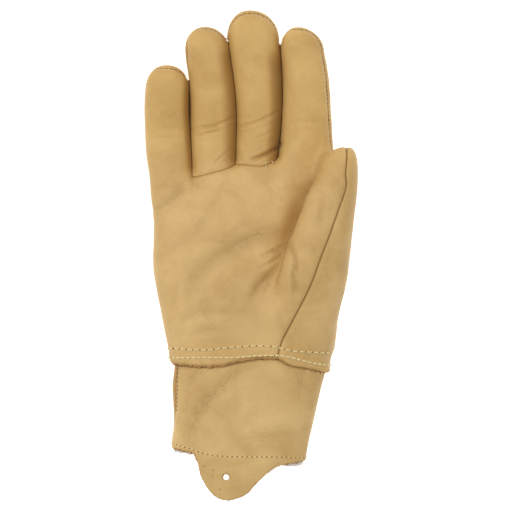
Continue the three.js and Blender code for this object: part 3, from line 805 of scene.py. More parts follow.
def cuff_tube(x, y, z):
    left, right = CUFF_SIZES.edges(y)
    bottom, top = CUFF_SIZES("bottom", y), CUFF_SIZES("top", y)
    middle_z = (top + bottom) / 2 - CUFF_SINK / 2
    deep = (top - bottom) / 2 + CUFF_SINK / 2
    field = tube(x, z, left, right, middle_z, deep, CUFF_FULLNESS)
    upper = smooth_step(*CUFF_FOLDED_Z, z - middle_z)
    under_hem = smooth_step(*UNDER_HEM_Y, y)
    field = field + upper * (1.0 - under_hem) * CUFF_RELIEF(x, y)
    return on_floor(field, z, bottom)


def cuff_seam_height(x, y):
    t = (x + CUFF_SEAM_REACH) / (2 * CUFF_SEAM_REACH)
    left, right = CUFF_SEAM_SIZES.edges(y)
    return left + (right - left) * t


def surface_net(values, low, pitch):
    """Quads round the places where values change sign: one point in each cell that the surface crosses."""
    inside = values < 0
    cells = tuple(n - 1 for n in values.shape)
    count = np.zeros(cells, np.int8)
    for i, j, k in np.ndindex(2, 2, 2):
        count += inside[i:i + cells[0], j:j + cells[1], k:k + cells[2]]
    crossing = (count > 0) & (count < 8)
    number = np.full(cells, -1, np.int64)
    total = int(crossing.sum())
    number[crossing] = np.arange(total)
    sums = np.zeros((3, total))
    hits = np.zeros(total)
    quads = []
    for axis in range(3):
        near = [slice(None)] * 3
        far = [slice(None)] * 3
        near[axis], far[axis] = slice(0, -1), slice(1, None)
        a, b = values[tuple(near)], values[tuple(far)]
        edges = np.argwhere((a < 0) != (b < 0))
        va, vb = a[tuple(edges.T)], b[tuple(edges.T)]
        place = edges.astype(float)
        place[:, axis] += va / (va - vb)
        sides = [n for n in range(3) if n != axis]
        ids = []
        ok = np.ones(len(edges), bool)
        for shift in ((-1, -1), (0, -1), (0, 0), (-1, 0)):
            cell = edges.copy()
            cell[:, sides] += shift
            ok &= (cell >= 0).all(1) & (cell < np.array(cells)).all(1)
            ids.append(number[tuple(np.clip(cell, 0, np.array(cells) - 1).T)])
        for points in ids:
            for n in range(3):
                sums[n] += np.bincount(points[ok], place[ok, n], total)
            hits += np.bincount(points[ok], minlength=total)
        quad = np.stack(ids, 1)[ok]
        outward = (va < 0)[ok]
        if axis == 1:
            outward = ~outward
        quad[~outward] = quad[~outward][:, ::-1]
        quads.append(quad)
    points = (sums / np.maximum(hits, 1)).T * pitch + np.array(low)
    return points, np.concatenate(quads)


TETRA = np.array([(1, -1, -1), (-1, -1, 1), (-1, 1, -1), (1, 1, 1)], float)


def slope_of(field, points, reach=0.05):
    """A field's value and gradient at points."""
    value = np.zeros(len(points))
    slope = np.zeros((len(points), 3))
    for corner in TETRA:
        there = field(*(points + reach * corner).T)
        value += there / 4
        slope += there[:, None] * corner / (4 * reach)
    return value, slope


def settle(field, points, limit, rounds=2):
    """Moves points onto the field's surface."""
    for _ in range(rounds):
        value, slope = slope_of(field, points)
        step = -value[:, None] * slope / (np.square(slope).sum(1)[:, None] + 1e-6)
        length = np.linalg.norm(step, axis=1)
        points = points + step * np.minimum(1.0, limit / np.maximum(length, 1e-9))[:, None]
    return points


def skin_of(field, low, high, pitch):
    """The closed surface of a field inside a box."""
    steps = [np.arange(a, b + pitch, pitch) for a, b in zip(low, high)]
    values = np.broadcast_to(field(*np.ix_(*steps)), [len(s) for s in steps]).astype(np.float32)
    for axis in range(3):
        edge = [slice(None)] * 3
        for end in (0, -1):
            edge[axis] = end
            values[tuple(edge)] = np.maximum(values[tuple(edge)], 0.01)
    points, quads = surface_net(values, low, pitch)
    return settle(field, points, 0.6 * pitch), quads


def placed(name, data):
    """A new object at the origin of the scene."""
    thing = bpy.data.objects.new(name, data)
    bpy.context.scene.collection.objects.link(thing)
    return thing


def add_attribute(mesh, name, values):
    """A number, or a vector, for each point of a mesh."""
    kind, key = ("FLOAT", "value") if values.ndim == 1 else ("FLOAT_VECTOR", "vector")
    layer = mesh.attributes.new(name, kind, "POINT")
    layer.data.foreach_set(key, values.astype(np.float32).ravel())


def mesh_object(name, points, quads, materials, attributes=(), inner=None):
    """A smooth mesh object, from millimetres."""
    mesh = bpy.data.meshes.new(name)
    mesh.vertices.add(len(points))
    mesh.vertices.foreach_set("co", (points * MM).astype(np.float32).ravel())
    mesh.loops.add(quads.size)
    mesh.loops.foreach_set("vertex_index", quads.astype(np.int32).ravel())
    mesh.polygons.add(len(quads))
    mesh.polygons.foreach_set("loop_start", np.arange(0, quads.size, 4, dtype=np.int32))
    mesh.polygons.foreach_set("use_smooth", np.ones(len(quads), bool))
    for key, values in attributes:
        add_attribute(mesh, key, values)
    for material in materials:
        mesh.materials.append(bpy.data.materials[material])
    if inner is not None:
        mesh.polygons.foreach_set("material_index", inner.astype(np.int32))
    mesh.update(calc_edges=True)
    mesh.validate()
    return placed(name, mesh)


def box_of(node, margin=2.0):
    """The box round a CAD node, in millimetres."""
    low, high = (np.array(tuple(corner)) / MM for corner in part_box(node))
    return low - margin, high + margin


def finish_piece(piece, slot, *nodes):
    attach(piece, "root")
    if nodes:
        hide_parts(*nodes)


def wrinkle_places(maps, x, y, share):
    """The place of each point in the nearest bundle of wrinkles, and how strong they are there."""
    across, along, strength = (one(x, y) for one in maps)
    return np.stack([across, along, strength * share], 1)


def hand_panel(name, region, pitch, sizes):
    """One leather panel of the hand, from its CAD node's box and the region that its seams bound."""
    wall, gap, roundness, dip = (
        size / MM for size in (sizes.hand_wall, sizes.seam_gap, sizes.seam_roundness, sizes.seam_dip)
    )

    def field(x, y, z):
        seam = region(x, y, z)
        outer = hand_leather(x, y, z, seam, dip)
        allowance = SEAM_ALLOWANCE * smooth_step(*ALLOWANCE_DEPTH, outer)
        panel = soft_max(wall_of(outer, wall), seam + gap / 2 - allowance, roundness)
        return soft_max(panel, hem_cut(x, y, outer, wall), EDGE_ROUNDNESS)

    low, high = box_of(name)
    # A panel that comes near the floor is looked for down to just below it
    low[2] = min(low[2], -1.0) if low[2] < 3.0 else low[2]
    points, quads = skin_of(field, low, high, pitch)
    x, y, z = points.T
    seam = region(x, y, z)
    outer = hand_leather(x, y, z, seam, dip)
    cut = hem_cut(x, y, outer, wall)
    upper = smooth_step(0.0, 4.0, z - side_seam_height(x, y)) * (outer > -0.5 * wall)
    inner = outer < -FLEECE_FROM["wall"] * wall
    inner = inner & (seam < -FLEECE_FROM["seam"]) & (cut < -FLEECE_FROM["hem"])
    # Painted shade on the flank beside the next finger; it darkens the colour through the fold and the shade
    # attributes
    flank = flank_shade(name, x, y) * upper
    # Painted shade: darker colour in hollows and between the fingers, where shade falls, spread over the mesh
    painted_shade = spread_over(sheltered(points, hand_body), quads, SHELTER_ROUNDS)
    seam_tone = 0.65 + 0.75 * bell(thumb_outer_side(x, y, z), 1.2)
    attributes = [
        ("seam", bell(seam, 0.8) * (outer > -0.9 * wall) * seam_tone),
        ("cut", smooth_step(*RAW_EDGE, cut) * smooth_step(*HAND_RAW_DEPTH, outer)),
        # Painted shade in the folds and on the flanks between the fingers
        ("fold", np.maximum(np.clip(PALM_CREASE_SHADE(x, y), 0.0, 1.0) * upper, 1.5 * flank)),
        ("painted_shade", np.maximum(0.85 * painted_shade, np.clip(1.2 * flank, 0.0, 1.0))),
        ("wrinkle", wrinkle_places(PALM_WRINKLE_MAPS, x, y, upper)),
    ]
    materials = ["buckskin_leather", "fleece_lining"]
    piece = mesh_object(f"leather_{name}", points, quads, materials, attributes, inner[quads].sum(1) >= 3)
    finish_piece(piece, "grain_leather", name)


def cuff_panel(name, region, edge, sizes):
    """The front or the back of the cuff, with a raw edge at its mouth."""
    wall = sizes.cuff_leather / MM
    gap = sizes.seam_gap / MM

    def field(x, y, z):
        outer = cuff_tube(x, y, z) + 0.5 * bell(region(x, y, z), 1.4)
        panel = soft_max(wall_of(outer, wall), region(x, y, z) + gap / 2, 0.8)
        return soft_max(soft_max(panel, cuff_cut(x, y, z, outer), 0.4), y - CUFF_TOP_Y, EDGE_ROUNDNESS)

    def cuff_cut(x, y, z, outer):
        lean = CUFF_LEAN
        for more, low_x, high_x in CUFF_LEAN_SIDES:
            lean = lean + more * smooth_step(low_x, high_x, x)
        lean = lean * (z > CUFF_LEAN_Z)
        return edge(x, y) - 0.3 + lean * (np.clip(outer, -wall, 0.0) + 0.6 * wall) + 0.6 * EDGE_WEAR(x, y)

    points, quads = skin_of(field, *box_of(name), sizes.fine_detail / MM)
    x, y, z = points.T
    outer = cuff_tube(x, y, z)
    shown = z > CUFF_FRONT_Z
    side_strip = float(name == "cuff_back")
    for (low, high), place in zip(SIDE_STRIP, (x, y, z)):
        side_strip = side_strip * smooth_step(low, high, place)
    near_edge = smooth_step(*RAW_EDGE, cuff_cut(x, y, z, outer)) * smooth_step(*CUFF_RAW_DEPTH, outer)
    hole_x, hole_y, radius = HANG_HOLE
    from_hole = np.hypot(x - hole_x, y - hole_y)
    # The hang hole's rim is darkened, most on its upper-left side: partly its raw edge, partly painted shade
    # where its wall turns from the light
    hole_rim_shade = bell(from_hole - radius, 0.45) * (1.0 + (y - hole_y - x + hole_x) / (1.4 * from_hole + 0.1))
    # Painted shade in the cuff's folds, with the hang hole's rim
    crease_shade = np.clip(CUFF_CREASE_SHADE(x, y) + 0.8 * hole_rim_shade, 0.0, 1.6) * shown
    attributes = [
        ("seam", bell(region(x, y, z), 1.0)),
        ("cut", np.maximum(near_edge, 0.5 * side_strip)),
        ("fold", crease_shade + 1.3 * side_strip),
        # Painted shadow along the cuff just below the hem
        ("painted_shade", 0.5 * smooth_step(2.0, 0.2, HEM_MAP(x, y)) * shown),
        ("wrinkle", wrinkle_places(CUFF_WRINKLE_MAPS, x, y, shown * (outer > -0.5 * wall))),
    ]
    piece = mesh_object(f"leather_{name}", points, quads, ["buckskin_leather"], attributes)
    finish_piece(piece, "grain_leather", name)


class Nodes:
    """Short ways to build a node tree."""

    def __init__(self, tree):
        self.tree = tree

    def give(self, node, inputs):
        """Links or sets a node's inputs."""
        for key, value in inputs.items():
            if isinstance(value, bpy.types.NodeSocket):
                self.tree.links.new(value, node.inputs[key])
            else:
                node.inputs[key].default_value = value

    def add(self, kind, inputs=(), **settings):
        node = self.tree.nodes.new(kind)
        for key, value in settings.items():
            setattr(node, key, value)
        self.give(node, dict(inputs))
        return node

    def out(self, kind, inputs=(), **settings):
        """A new node's first output."""
        return self.add(kind, inputs, **settings).outputs[0]

    def math(self, operation, a, b=0.0, c=0.0):
        return self.out("ShaderNodeMath", {0: a, 1: b, 2: c}, operation=operation)

    def times(self, a, b):
        return self.math("MULTIPLY", a, b)

    def vector(self, x=0.0, y=0.0, z=0.0):
        return self.out("ShaderNodeCombineXYZ", {0: x, 1: y, 2: z})

    def grey(self, value, low, high, dark=0.0, light=1.0):
        inputs = {0: value, 1: low, 2: high, 3: dark, 4: light}
        return self.out("ShaderNodeMapRange", inputs, interpolation_type="SMOOTHSTEP")

    def mix(self, factor, a, b, blend="MIX"):
        node = self.add("ShaderNodeMix", {0: factor, 6: a, 7: b}, data_type="RGBA", blend_type=blend)
        return node.outputs[2]

    def noise(self, where, scale, detail=2.0, roughness=0.5, distortion=0.0):
        return self.out("ShaderNodeTexNoise", {
            "Vector": where, "Scale": scale, "Detail": detail, "Roughness": roughness,
            "Distortion": distortion,
        })

    def cells(self, where, scale, feature="DISTANCE_TO_EDGE"):
        return self.out("ShaderNodeTexVoronoi", {"Vector": where, "Scale": scale}, feature=feature)

    def bump(self, height, strength, distance):
        return self.out("ShaderNodeBump", {"Strength": strength, "Distance": distance, "Height": height})

    def attribute(self, name, output="Fac"):
        return self.add("ShaderNodeAttribute", attribute_name=name).outputs[output]

    def wrinkles(self):
        """Fine lines along the bundles of wrinkles, 1 on a line and 0 off it."""
        place = self.add("ShaderNodeSeparateXYZ", {0: self.attribute("wrinkle", "Vector")}).outputs
        ripple = self.noise(self.vector(place[0], place[1]), 1.0, detail=1.0, roughness=0.4)
        off = self.math("ABSOLUTE", self.math("SUBTRACT", ripple, 0.5))
        return self.times(self.grey(off, 0.0, 0.055, 1.0, 0.0), place[2])


def new_material(name):
    """A new material's tree, its shader, and the place on the glove that its patterns follow."""
    material = bpy.data.materials.new(name)
    material.use_nodes = True
    material.node_tree.nodes.clear()
    build = Nodes(material.node_tree)
    shader = build.add("ShaderNodeBsdfPrincipled")
    build.add("ShaderNodeOutputMaterial", {0: shader.outputs[0]})
    return build, shader, build.add("ShaderNodeTexCoord").outputs["Object"]


def rgba(colour, shares=1.0):
    """A colour, or a shade of it with one share for all its parts or one for each."""
    return (*np.minimum(np.array(colour[:3]) * shares, 1.0), 1.0)


# Needle holes in the tab, painted as dark spots: painted shade of holes that the leather does not have
NEEDLE_MARKS = front((213.2, 469.4), (212.7, 474.8), (203.6, 465.7), (219.8, 488.9))


def leather_material(colours):
    build, shader, where = new_material("buckskin_leather")
    clouds = build.noise(where, 38.0, detail=3.0, roughness=0.55, distortion=0.6)
    mottle = build.noise(where, 230.0, detail=4.0, roughness=0.6, distortion=0.4)
    fine = build.noise(where, 1500.0, detail=3.0, roughness=0.6)
    pores = build.cells(where, 1150.0)
    pebble = build.cells(where, 520.0, "F1")
    cut = build.attribute("cut")
    wrinkle = build.wrinkles()

    folded = rgba(colours.fold)
    pale = rgba([c * 1.10 + 0.012 for c in colours.leather[:3]])
    suede = build.mix(build.grey(mottle, 0.3, 0.7), rgba(colours.cut_edge, 0.7), rgba(colours.cut_edge))
    tone = build.mix(build.grey(clouds, 0.30, 0.72), rgba(colours.leather, (0.88, 0.82, 0.72)), pale)
    tone = build.mix(build.grey(mottle, 0.35, 0.68, 0.0, 0.55), tone, rgba(colours.leather))
    tone = build.mix(build.grey(fine, 0.30, 0.70, 0.10, 0.0), tone, folded)
    along_glove = build.add("ShaderNodeSeparateXYZ", {0: where}).outputs[1]
    warm_fingers = build.grey(along_glove, 0.03, 0.08)
    tone = build.mix(warm_fingers, tone, (0.97, 0.93, 0.80, 1.0), "MULTIPLY")
    pale_cuff = build.grey(along_glove, -0.09, -0.065, 1.0, 0.0)
    tone = build.mix(pale_cuff, tone, (1.04, 1.06, 1.09, 1.0), "MULTIPLY")
    for share, strength, shade in (
        # painted shade in hollows, between the fingers and under the hem
        (build.attribute("painted_shade"), 0.85, rgba(colours.leather, (0.72, 0.54, 0.26))),
        # fold: painted shade in creases, on the fingers' flanks and round the hang hole, and the darker raw
        # strip at the cuff's side
        (build.attribute("fold"), 0.42, folded),
        # fine wrinkles: painted shade in their lines, beside their bump
        (wrinkle, 0.28, folded),
        (build.math("POWER", build.attribute("seam"), 2.0), 0.5, folded),
        (cut, 0.92, suede),
    ):
        tone = build.mix(build.times(share, strength), tone, shade)

    # Dark spots at the tab's needle holes: painted shade
    seen_flat = build.out("ShaderNodeVectorMath", {0: where, 1: (1.0, 1.0, 0.0)}, operation="MULTIPLY")
    to_mark = 1.0
    for mark_x, mark_y in NEEDLE_MARKS:
        spot = (mark_x * MM, mark_y * MM, 0.0)
        away = build.add("ShaderNodeVectorMath", {0: seen_flat, 1: spot}, operation="DISTANCE").outputs[1]
        to_mark = build.math("MINIMUM", to_mark, away)
    tone = build.mix(build.grey(to_mark, 0.0003, 0.0007, 0.75, 0.0), tone, folded)

    height = build.times(build.grey(pores, 0.0, 0.22), 0.45)
    for pattern, share in ((pebble, 0.30), (mottle, 1.6), (fine, 0.35), (wrinkle, -1.8)):
        height = build.math("MULTIPLY_ADD", pattern, share, height)
    rough = build.math("ADD", build.grey(mottle, 0.3, 0.7, 0.46, 0.60), build.times(cut, 0.25))
    build.give(shader, {
        "Base Color": tone, "Roughness": rough, "Normal": build.bump(height, 0.55, 0.00022),
        "Specular IOR Level": 0.38, "Sheen Weight": 0.10, "Sheen Roughness": 0.45,
        "Sheen Tint": (1.0, 0.86, 0.62, 1.0),
    })


def fleece_material(colours):
    build, shader, where = new_material("fleece_lining")
    curl = build.noise(where, 900.0, detail=5.0, roughness=0.7, distortion=1.2)
    tuft = build.cells(where, 420.0, "F1")
    shade = rgba(colours.fleece, 0.72)
    tone = build.mix(build.grey(curl, 0.3, 0.7), shade, rgba(colours.fleece))
    tone = build.mix(build.grey(tuft, 0.25, 0.8, 0.0, 0.35), tone, shade)
    height = build.math("MULTIPLY_ADD", tuft, -0.8, curl)
    build.give(shader, {
        "Base Color": tone, "Roughness": build.grey(curl, 0.2, 0.8, 0.86, 0.98),
        "Normal": build.bump(height, 0.9, 0.0006), "Specular IOR Level": 0.2,
        "Sheen Weight": 0.45, "Sheen Roughness": 0.6,
    })


def thread_material(name, colour):
    build, shader, where = new_material(name)
    wave = {"Vector": where, "Scale": 1400.0, "Distortion": 1.5, "Detail": 1.0}
    twist = build.add("ShaderNodeTexWave", wave, bands_direction="DIAGONAL").outputs[1]
    fuzz = build.noise(where, 3000.0)
    build.give(shader, {
        "Base Color": build.mix(build.grey(twist, 0.2, 0.8), rgba(colour, 0.82), rgba(colour)),
        "Roughness": build.grey(fuzz, 0.3, 0.7, 0.5, 0.75), "Normal": build.bump(twist, 0.7, 0.0001),
    })


# Dark dimples between the stitches: painted shade for needle holes that the leather does not have
def hole_material(colours):
    build, shader, where = new_material("needle_hole")
    speck = build.noise(where, 1800.0, detail=3.0)
    dark, light = rgba(colours.needle_hole), rgba(colours.needle_hole, 2.0)
    build.give(shader, {
        "Base Color": build.mix(build.grey(speck, 0.35, 0.7), dark, light), "Roughness": 0.9,
        "Normal": build.bump(speck, 0.5, 0.0001), "Specular IOR Level": 0.1,
    })


STITCH_MODIFIER_SIZES = (
    "Stitch pitch", "Thread share", "Thread radius", "Arch", "Sink", "Hole radius", "Hole width",
)


def stitch_tree():
    """Geometry Nodes: arched stitches along a seam, and between each two a dark dimple that paints the shade of
    a needle hole.
    """
    tree = bpy.data.node_groups.new("seam_stitches", "GeometryNodeTree")
    sockets = [("Geometry", "OUTPUT", "Geometry"), ("Geometry", "INPUT", "Geometry")]
    sockets += [(name, "INPUT", "Float") for name in STITCH_MODIFIER_SIZES]
    sockets += [("Thread", "INPUT", "Material"), ("Hole", "INPUT", "Material")]
    for name, way, kind in sockets:
        tree.interface.new_socket(name, in_out=way, socket_type=f"NodeSocket{kind}")
    build = Nodes(tree)
    given = build.add("NodeGroupInput").outputs
    curve = build.out("GeometryNodeMeshToCurve", {0: given["Geometry"]})
    step = build.times(given["Stitch pitch"], 0.5)
    line = build.out("GeometryNodeResampleCurve", {"Curve": curve, "Length": step}, mode="LENGTH")
    tangent = build.out("GeometryNodeInputTangent")
    out = build.out("GeometryNodeInputNamedAttribute", {"Name": "out"}, data_type="FLOAT_VECTOR")
    turn = build.out("FunctionNodeAlignRotationToVector", {"Vector": tangent}, axis="X")
    turn = build.out(
        "FunctionNodeAlignRotationToVector", {"Rotation": turn, "Vector": out}, axis="Z", pivot_axis="X"
    )
    odd = build.math("MODULO", build.out("GeometryNodeInputIndex"), 2.0)
    even = build.math("SUBTRACT", 1.0, odd)

    half = build.times(build.times(given["Stitch pitch"], given["Thread share"]), 0.5)
    low = build.times(given["Sink"], -1.0)
    arch = build.out("GeometryNodeCurveQuadraticBezier", {
        "Resolution": 6, "Start": build.vector(build.times(half, -1.0), z=low),
        "Middle": build.vector(z=build.times(given["Arch"], 2.0)), "End": build.vector(half, z=low),
    })
    thick = {"Resolution": 7, "Radius": given["Thread radius"]}
    ring = build.out("GeometryNodeCurvePrimitiveCircle", thick)
    stitch = build.out("GeometryNodeCurveToMesh", {"Curve": arch, "Profile Curve": ring, "Fill Caps": True})
    # Each needle hole is a dark flattened dimple, which paints the shade of a hole
    dimple = build.out(
        "GeometryNodeMeshUVSphere", {"Segments": 10, "Rings": 5, "Radius": given["Hole radius"]}
    )
    squeeze = build.vector(1.0, given["Hole width"], 0.22)
    dimple = build.out("GeometryNodeTransform", {"Geometry": dimple, "Scale": squeeze})

    join = build.add("GeometryNodeJoinGeometry")
    for shape, material, chosen in ((dimple, "Hole", even), (stitch, "Thread", odd)):
        shape = build.out("GeometryNodeSetMaterial", {"Geometry": shape, "Material": given[material]})
        inputs = {"Points": line, "Selection": chosen, "Instance": shape, "Rotation": turn}
        tree.links.new(build.out("GeometryNodeInstanceOnPoints", inputs), join.inputs[0])
    real = build.out("GeometryNodeRealizeInstances", {"Geometry": join.outputs[0]})
    build.add("NodeGroupOutput", {0: build.out("GeometryNodeSetShadeSmooth", {"Geometry": real})})
    return tree


def turning_point(holds, near, far, rounds=14):
    """Where between near and far a test stops holding."""
    for _ in range(rounds):
        middle = (near + far) / 2
        held = holds(middle)
        near, far = np.where(held, middle, near), np.where(held, far, middle)
    return (near + far) / 2


def drop_to(field, points, high=60.0, low=4.0):
    """The points of the front view, brought down onto a field's surface."""
    x, y = np.array(points, float).T
    z = np.arange(high, low, -SEARCH_STEP)
    values = field(x[:, None], y[:, None], z[None, :])
    met = (values < 0).any(1)
    x, y, values = x[met], y[met], values[met]
    first = np.argmax(values < 0, axis=1)
    top, bottom = z[np.maximum(first - 1, 0)], z[first]
    return np.stack([x, y, turning_point(lambda at: field(x, y, at) >= 0, top, bottom)], 1)


def reach_out(field, starts, directions, height, far=40.0):
    """Points on a field's surface, sought outwards at the height that a seam runs at."""
    start = np.array(starts, float).T
    way = np.array(directions, float).T

    def value(t, start, way):
        x, y = start + t * way
        return field(x, y, height(x, y))

    steps = np.arange(0.0, far, SEARCH_STEP)
    first = np.argmax(value(steps[None, :], start[:, :, None], way[:, :, None]) > 0, axis=1)
    t = turning_point(lambda at: value(at, start, way) <= 0, steps[np.maximum(first - 1, 0)], steps[first])
    x, y = start + t * way
    return np.stack([x, y, height(x, y)], 1)


def carried_round(line, back_row, field):
    """A line of the front, carried on round the side and across the back to where it began."""
    row_x, row_y = np.array(back_row, float)[:, :2].T
    middle_x = (line[0, 0] + line[-1, 0]) / 2
    first = math.atan2(line[-1, 2] - ROUND_FROM_Z, line[-1, 0] - middle_x)
    last = math.atan2(line[0, 2] - ROUND_FROM_Z, line[0, 0] - middle_x) - 2.0 * math.pi
    turn = np.linspace(first, last, 240)[1:-1]

    def place(reach):
        x = middle_x + reach * np.cos(turn)
        return x, np.interp(x, row_x, row_y), ROUND_FROM_Z + reach * np.sin(turn)

    inside, outside = (np.full(turn.shape, reach) for reach in ROUND_REACH)
    reach = turning_point(lambda at: field(*place(at)) < 0, inside, outside, 17)
    return np.concatenate([line, np.stack(place(reach), 1)])


def evenly(points, step=0.6):
    """A bent line's points at even steps, its corners rounded."""
    line = np.array(smooth_line(points), float)
    lengths = np.concatenate([[0.0], np.cumsum(np.linalg.norm(np.diff(line, axis=0), axis=1))])
    at = np.linspace(0.0, lengths[-1], max(int(lengths[-1] / step), 2))
    return np.stack([np.interp(at, lengths, line[:, n]) for n in range(line.shape[1])], 1)


def sew(name, lines, field, settings, thread="sewing_thread"):
    """Stitches along lines that lie on a field's surface."""
    points = np.concatenate(lines)
    edges = []
    start = 0
    for line in lines:
        edges += [(start + n, start + n + 1) for n in range(len(line) - 1)]
        start += len(line)
    mesh = bpy.data.meshes.new(name)
    mesh.from_pydata([tuple(p) for p in points * MM], edges, [])
    add_attribute(mesh, "out", unit(slope_of(field, points)[1]))
    path = placed(f"{name}_path", mesh)
    tree = bpy.data.node_groups.get("seam_stitches") or stitch_tree()
    modifier = path.modifiers.new("stitches", "NODES")
    modifier.node_group = tree
    sockets = {
        item.name: item.identifier for item in tree.interface.items_tree
        if item.item_type == "SOCKET" and item.in_out == "INPUT"
    }
    for key, value in settings.items():
        modifier[sockets[key]] = value
    modifier[sockets["Thread"]] = bpy.data.materials[thread]
    modifier[sockets["Hole"]] = bpy.data.materials["needle_hole"]
    graph = bpy.context.evaluated_depsgraph_get()
    made = bpy.data.meshes.new_from_object(path.evaluated_get(graph))
    made.name = name
    bpy.data.objects.remove(path)
    finish_piece(placed(name, made), "thread")


def stitch_sizes(pitch, share=0.72, radius=0.38, arch=0.35, sink=0.25, hole=0.45, hole_width=0.85):
    """Sizes in millimetres; share is of the pitch and hole_width of the hole's length."""
    values = (pitch * MM, share, radius * MM, arch * MM, sink * MM, hole * MM, hole_width)
    return dict(zip(STITCH_MODIFIER_SIZES, values))


# How deep the seams lie where they are sewn over
SEWN_SEAM_DIP = 0.6
# Steps in which a surface is first looked for
SEARCH_STEP = 0.5


def hand_surface(x, y, z):
    """The hand's outer surface, for what is sewn on it."""
    seam = np.minimum(np.abs(palm_side(x, y, z)), np.abs(thumb_outer_side(x, y, z)))
    return hand_leather(x, y, z, seam, SEWN_SEAM_DIP)


HEM_UPPER = [
    [(174.0, 348.2), (190, 349.2), (206.5, 349.8), (218, 348.4), (228, 347.2), (244.4, 346), (258.6, 345.4),
     (270, 345.8), (276.9, 346.8), (283, 348.2), (290.3, 350.4), (303, 351.2), (312.2, 351.7),
     (327, 352.6)],
]
HEM_LOWER = [
    [(172.0, 357.4), (192, 357.4), (211.2, 356.9), (224, 357.4), (238, 356.8), (252, 355.6), (266, 354.8),
     (277.6, 355.0), (285, 356.0), (292.9, 357.6), (301, 359.8), (309.4, 362.0), (318, 363.8),
     (328, 365.0)],
]
HEM_TACK = [[(311.4, 352.6), (311.7, 361.4)]]
CUFF_STITCHES = [
    [(173.5, 443.5), (183, 446.3), (194, 449.5), (203, 452.8), (216, 455.3), (237, 456.2), (260, 456.2),
     (283, 456.6), (295, 457.4), (303, 457.2)],
]
# The row at the cuff's edge across its back
CUFF_BACK_ROW = [(-46.5, -112.8), (31.2, -121.0)]
# Rows are carried round a line at this height, with the leather between these reaches from it
ROUND_FROM_Z = 13.0
ROUND_REACH = (8.0, 75.0)
BASE_THREAD_ENDS = [[(270.8, 160.8), (274.0, 163.8)], [(265.6, 163.2), (266.4, 167.0)]]
PEEPING_STITCHES = [
    [(305.4, 370.0), (307.8, 370.8)], [(316.8, 372.4), (319.6, 372.9)], [(321.8, 373.1), (324.2, 373.1)],
]
# The finger, the angles that its seam shows between, and the y that it goes down to
FINGERTIP_SEAMS = [("little", 126, 8), ("ring", 118, 20), ("middle", 152, 24)]
INDEX_SEAM = ("index", 112, 0, 62)
CUFF_SIDE_STITCHES = [[(177.6, 369), (177.6, 385), (177.2, 399), (176.6, 410)]]


def fingertip_line(name, first_angle, last_angle, down_to=None):
    """The seam round a fingertip between two angles, and on down the right side where it shows there."""
    sizes = FINGER_SIZES[name]
    last_y = FINGERS[name]["rows"][-1][0]
    angles = np.radians(np.arange(first_angle, last_angle, -2.0))
    starts = [(sizes.middle(last_y), last_y)] * len(angles)
    directions = list(zip(np.cos(angles), np.sin(angles)))
    for y in np.arange(last_y, down_to if down_to else last_y, -0.6):
        starts.append((sizes.middle(y), y))
        directions.append((1.0, 0.0))
    return reach_out(hand_surface, starts, directions, side_seam_height)


# What a user may change
def length(name, description, default):
    return bpy.props.FloatProperty(name=name, description=description, default=default, unit="LENGTH")


def colour(name, description, *default):
    return bpy.props.FloatVectorProperty(
        name=name, description=description, default=default, subtype="COLOR")


class GloveSizes(bpy.types.PropertyGroup):
    hand_wall: length("Hand wall", "Leather with its bonded lining", 0.0024)
    cuff_leather: length("Cuff leather", "Leather of the cuff", 0.0014)
    lining_wall: length("Lining", "Thickness of the fleece sleeve", 0.0022)
    seam_gap: length("Seam gap", "Space between two panels", 0.00012)
    seam_roundness: length("Seam roundness", "How widely a panel's edge turns in", 0.00055)
    seam_dip: length("Seam dip", "How far the leather sinks to its seams", 0.0005)
    detail: length("Detail", "Width of the faces of the large panels", 0.00095)
    fine_detail: length("Fine detail", "Width of the faces of the small panels", 0.0007)


class GloveColours(bpy.types.PropertyGroup):
    leather: colour("Leather", "Colour of the buckskin", 0.625, 0.415, 0.160)
    # Dark brown of the seams and fine specks, and of painted shade in folds, wrinkles, between the fingers and
    # in the tab's needle holes
    fold: colour("Folds", "Leather darkened in folds and seams", 0.30, 0.155, 0.036)
    cut_edge: colour("Cut edge", "Raw edge of the leather", 0.62, 0.335, 0.105)
    fleece: colour("Fleece", "Colour of the lining", 0.93, 0.81, 0.72)
    thread: colour("Thread", "Colour of the sewing thread", 0.90, 0.73, 0.36)
    # A darker copy of the thread: painted shade for stitches that lie deep in the seams
    seam_thread: colour("Seam thread", "Colour of the thread deep in the fingers' seams", 0.60, 0.40, 0.16)
    # Painted shade of the needle holes, which the leather does not have
    needle_hole: colour("Needle holes", "Colour in the holes that the needle left", 0.14, 0.06, 0.015)


class GloveStage(bpy.types.PropertyGroup):
    lens: bpy.props.FloatProperty(
        name="Lens", description="Focal length of the camera in millimetres", default=400.0)
    view_width: length("View width", "Width that the camera sees at the glove", 0.3072)
    key_power: bpy.props.FloatProperty(
        name="Key light", description="Power of the soft light from the upper left", default=13.5)
    fill: bpy.props.FloatProperty(
        name="Surrounding light", description="Strength of the light from all round", default=0.40)


class GLOVE_OT_materials(bpy.types.Operator):
    """Make the leather, fleece and thread"""
    bl_idname = "glove.materials"
    bl_label = "Materials"

    def execute(self, context):
        colours = context.scene.glove_colours
        leather_material(colours)
        fleece_material(colours)
        thread_material("sewing_thread", colours.thread)
        # The seam thread is the sewing thread with painted shade, for stitches deep in seams
        thread_material("seam_thread", colours.seam_thread)
        hole_material(colours)
        return {"FINISHED"}


class GLOVE_OT_palm(bpy.types.Operator):
    """Make the palm, with the fronts of the index finger, the little finger and the thumb"""
    bl_idname = "glove.palm"
    bl_label = "Palm"

    def execute(self, context):
        sizes = context.scene.glove_sizes
        hand_panel("palm", hand_front_region, sizes.detail / MM, sizes)
        return {"FINISHED"}


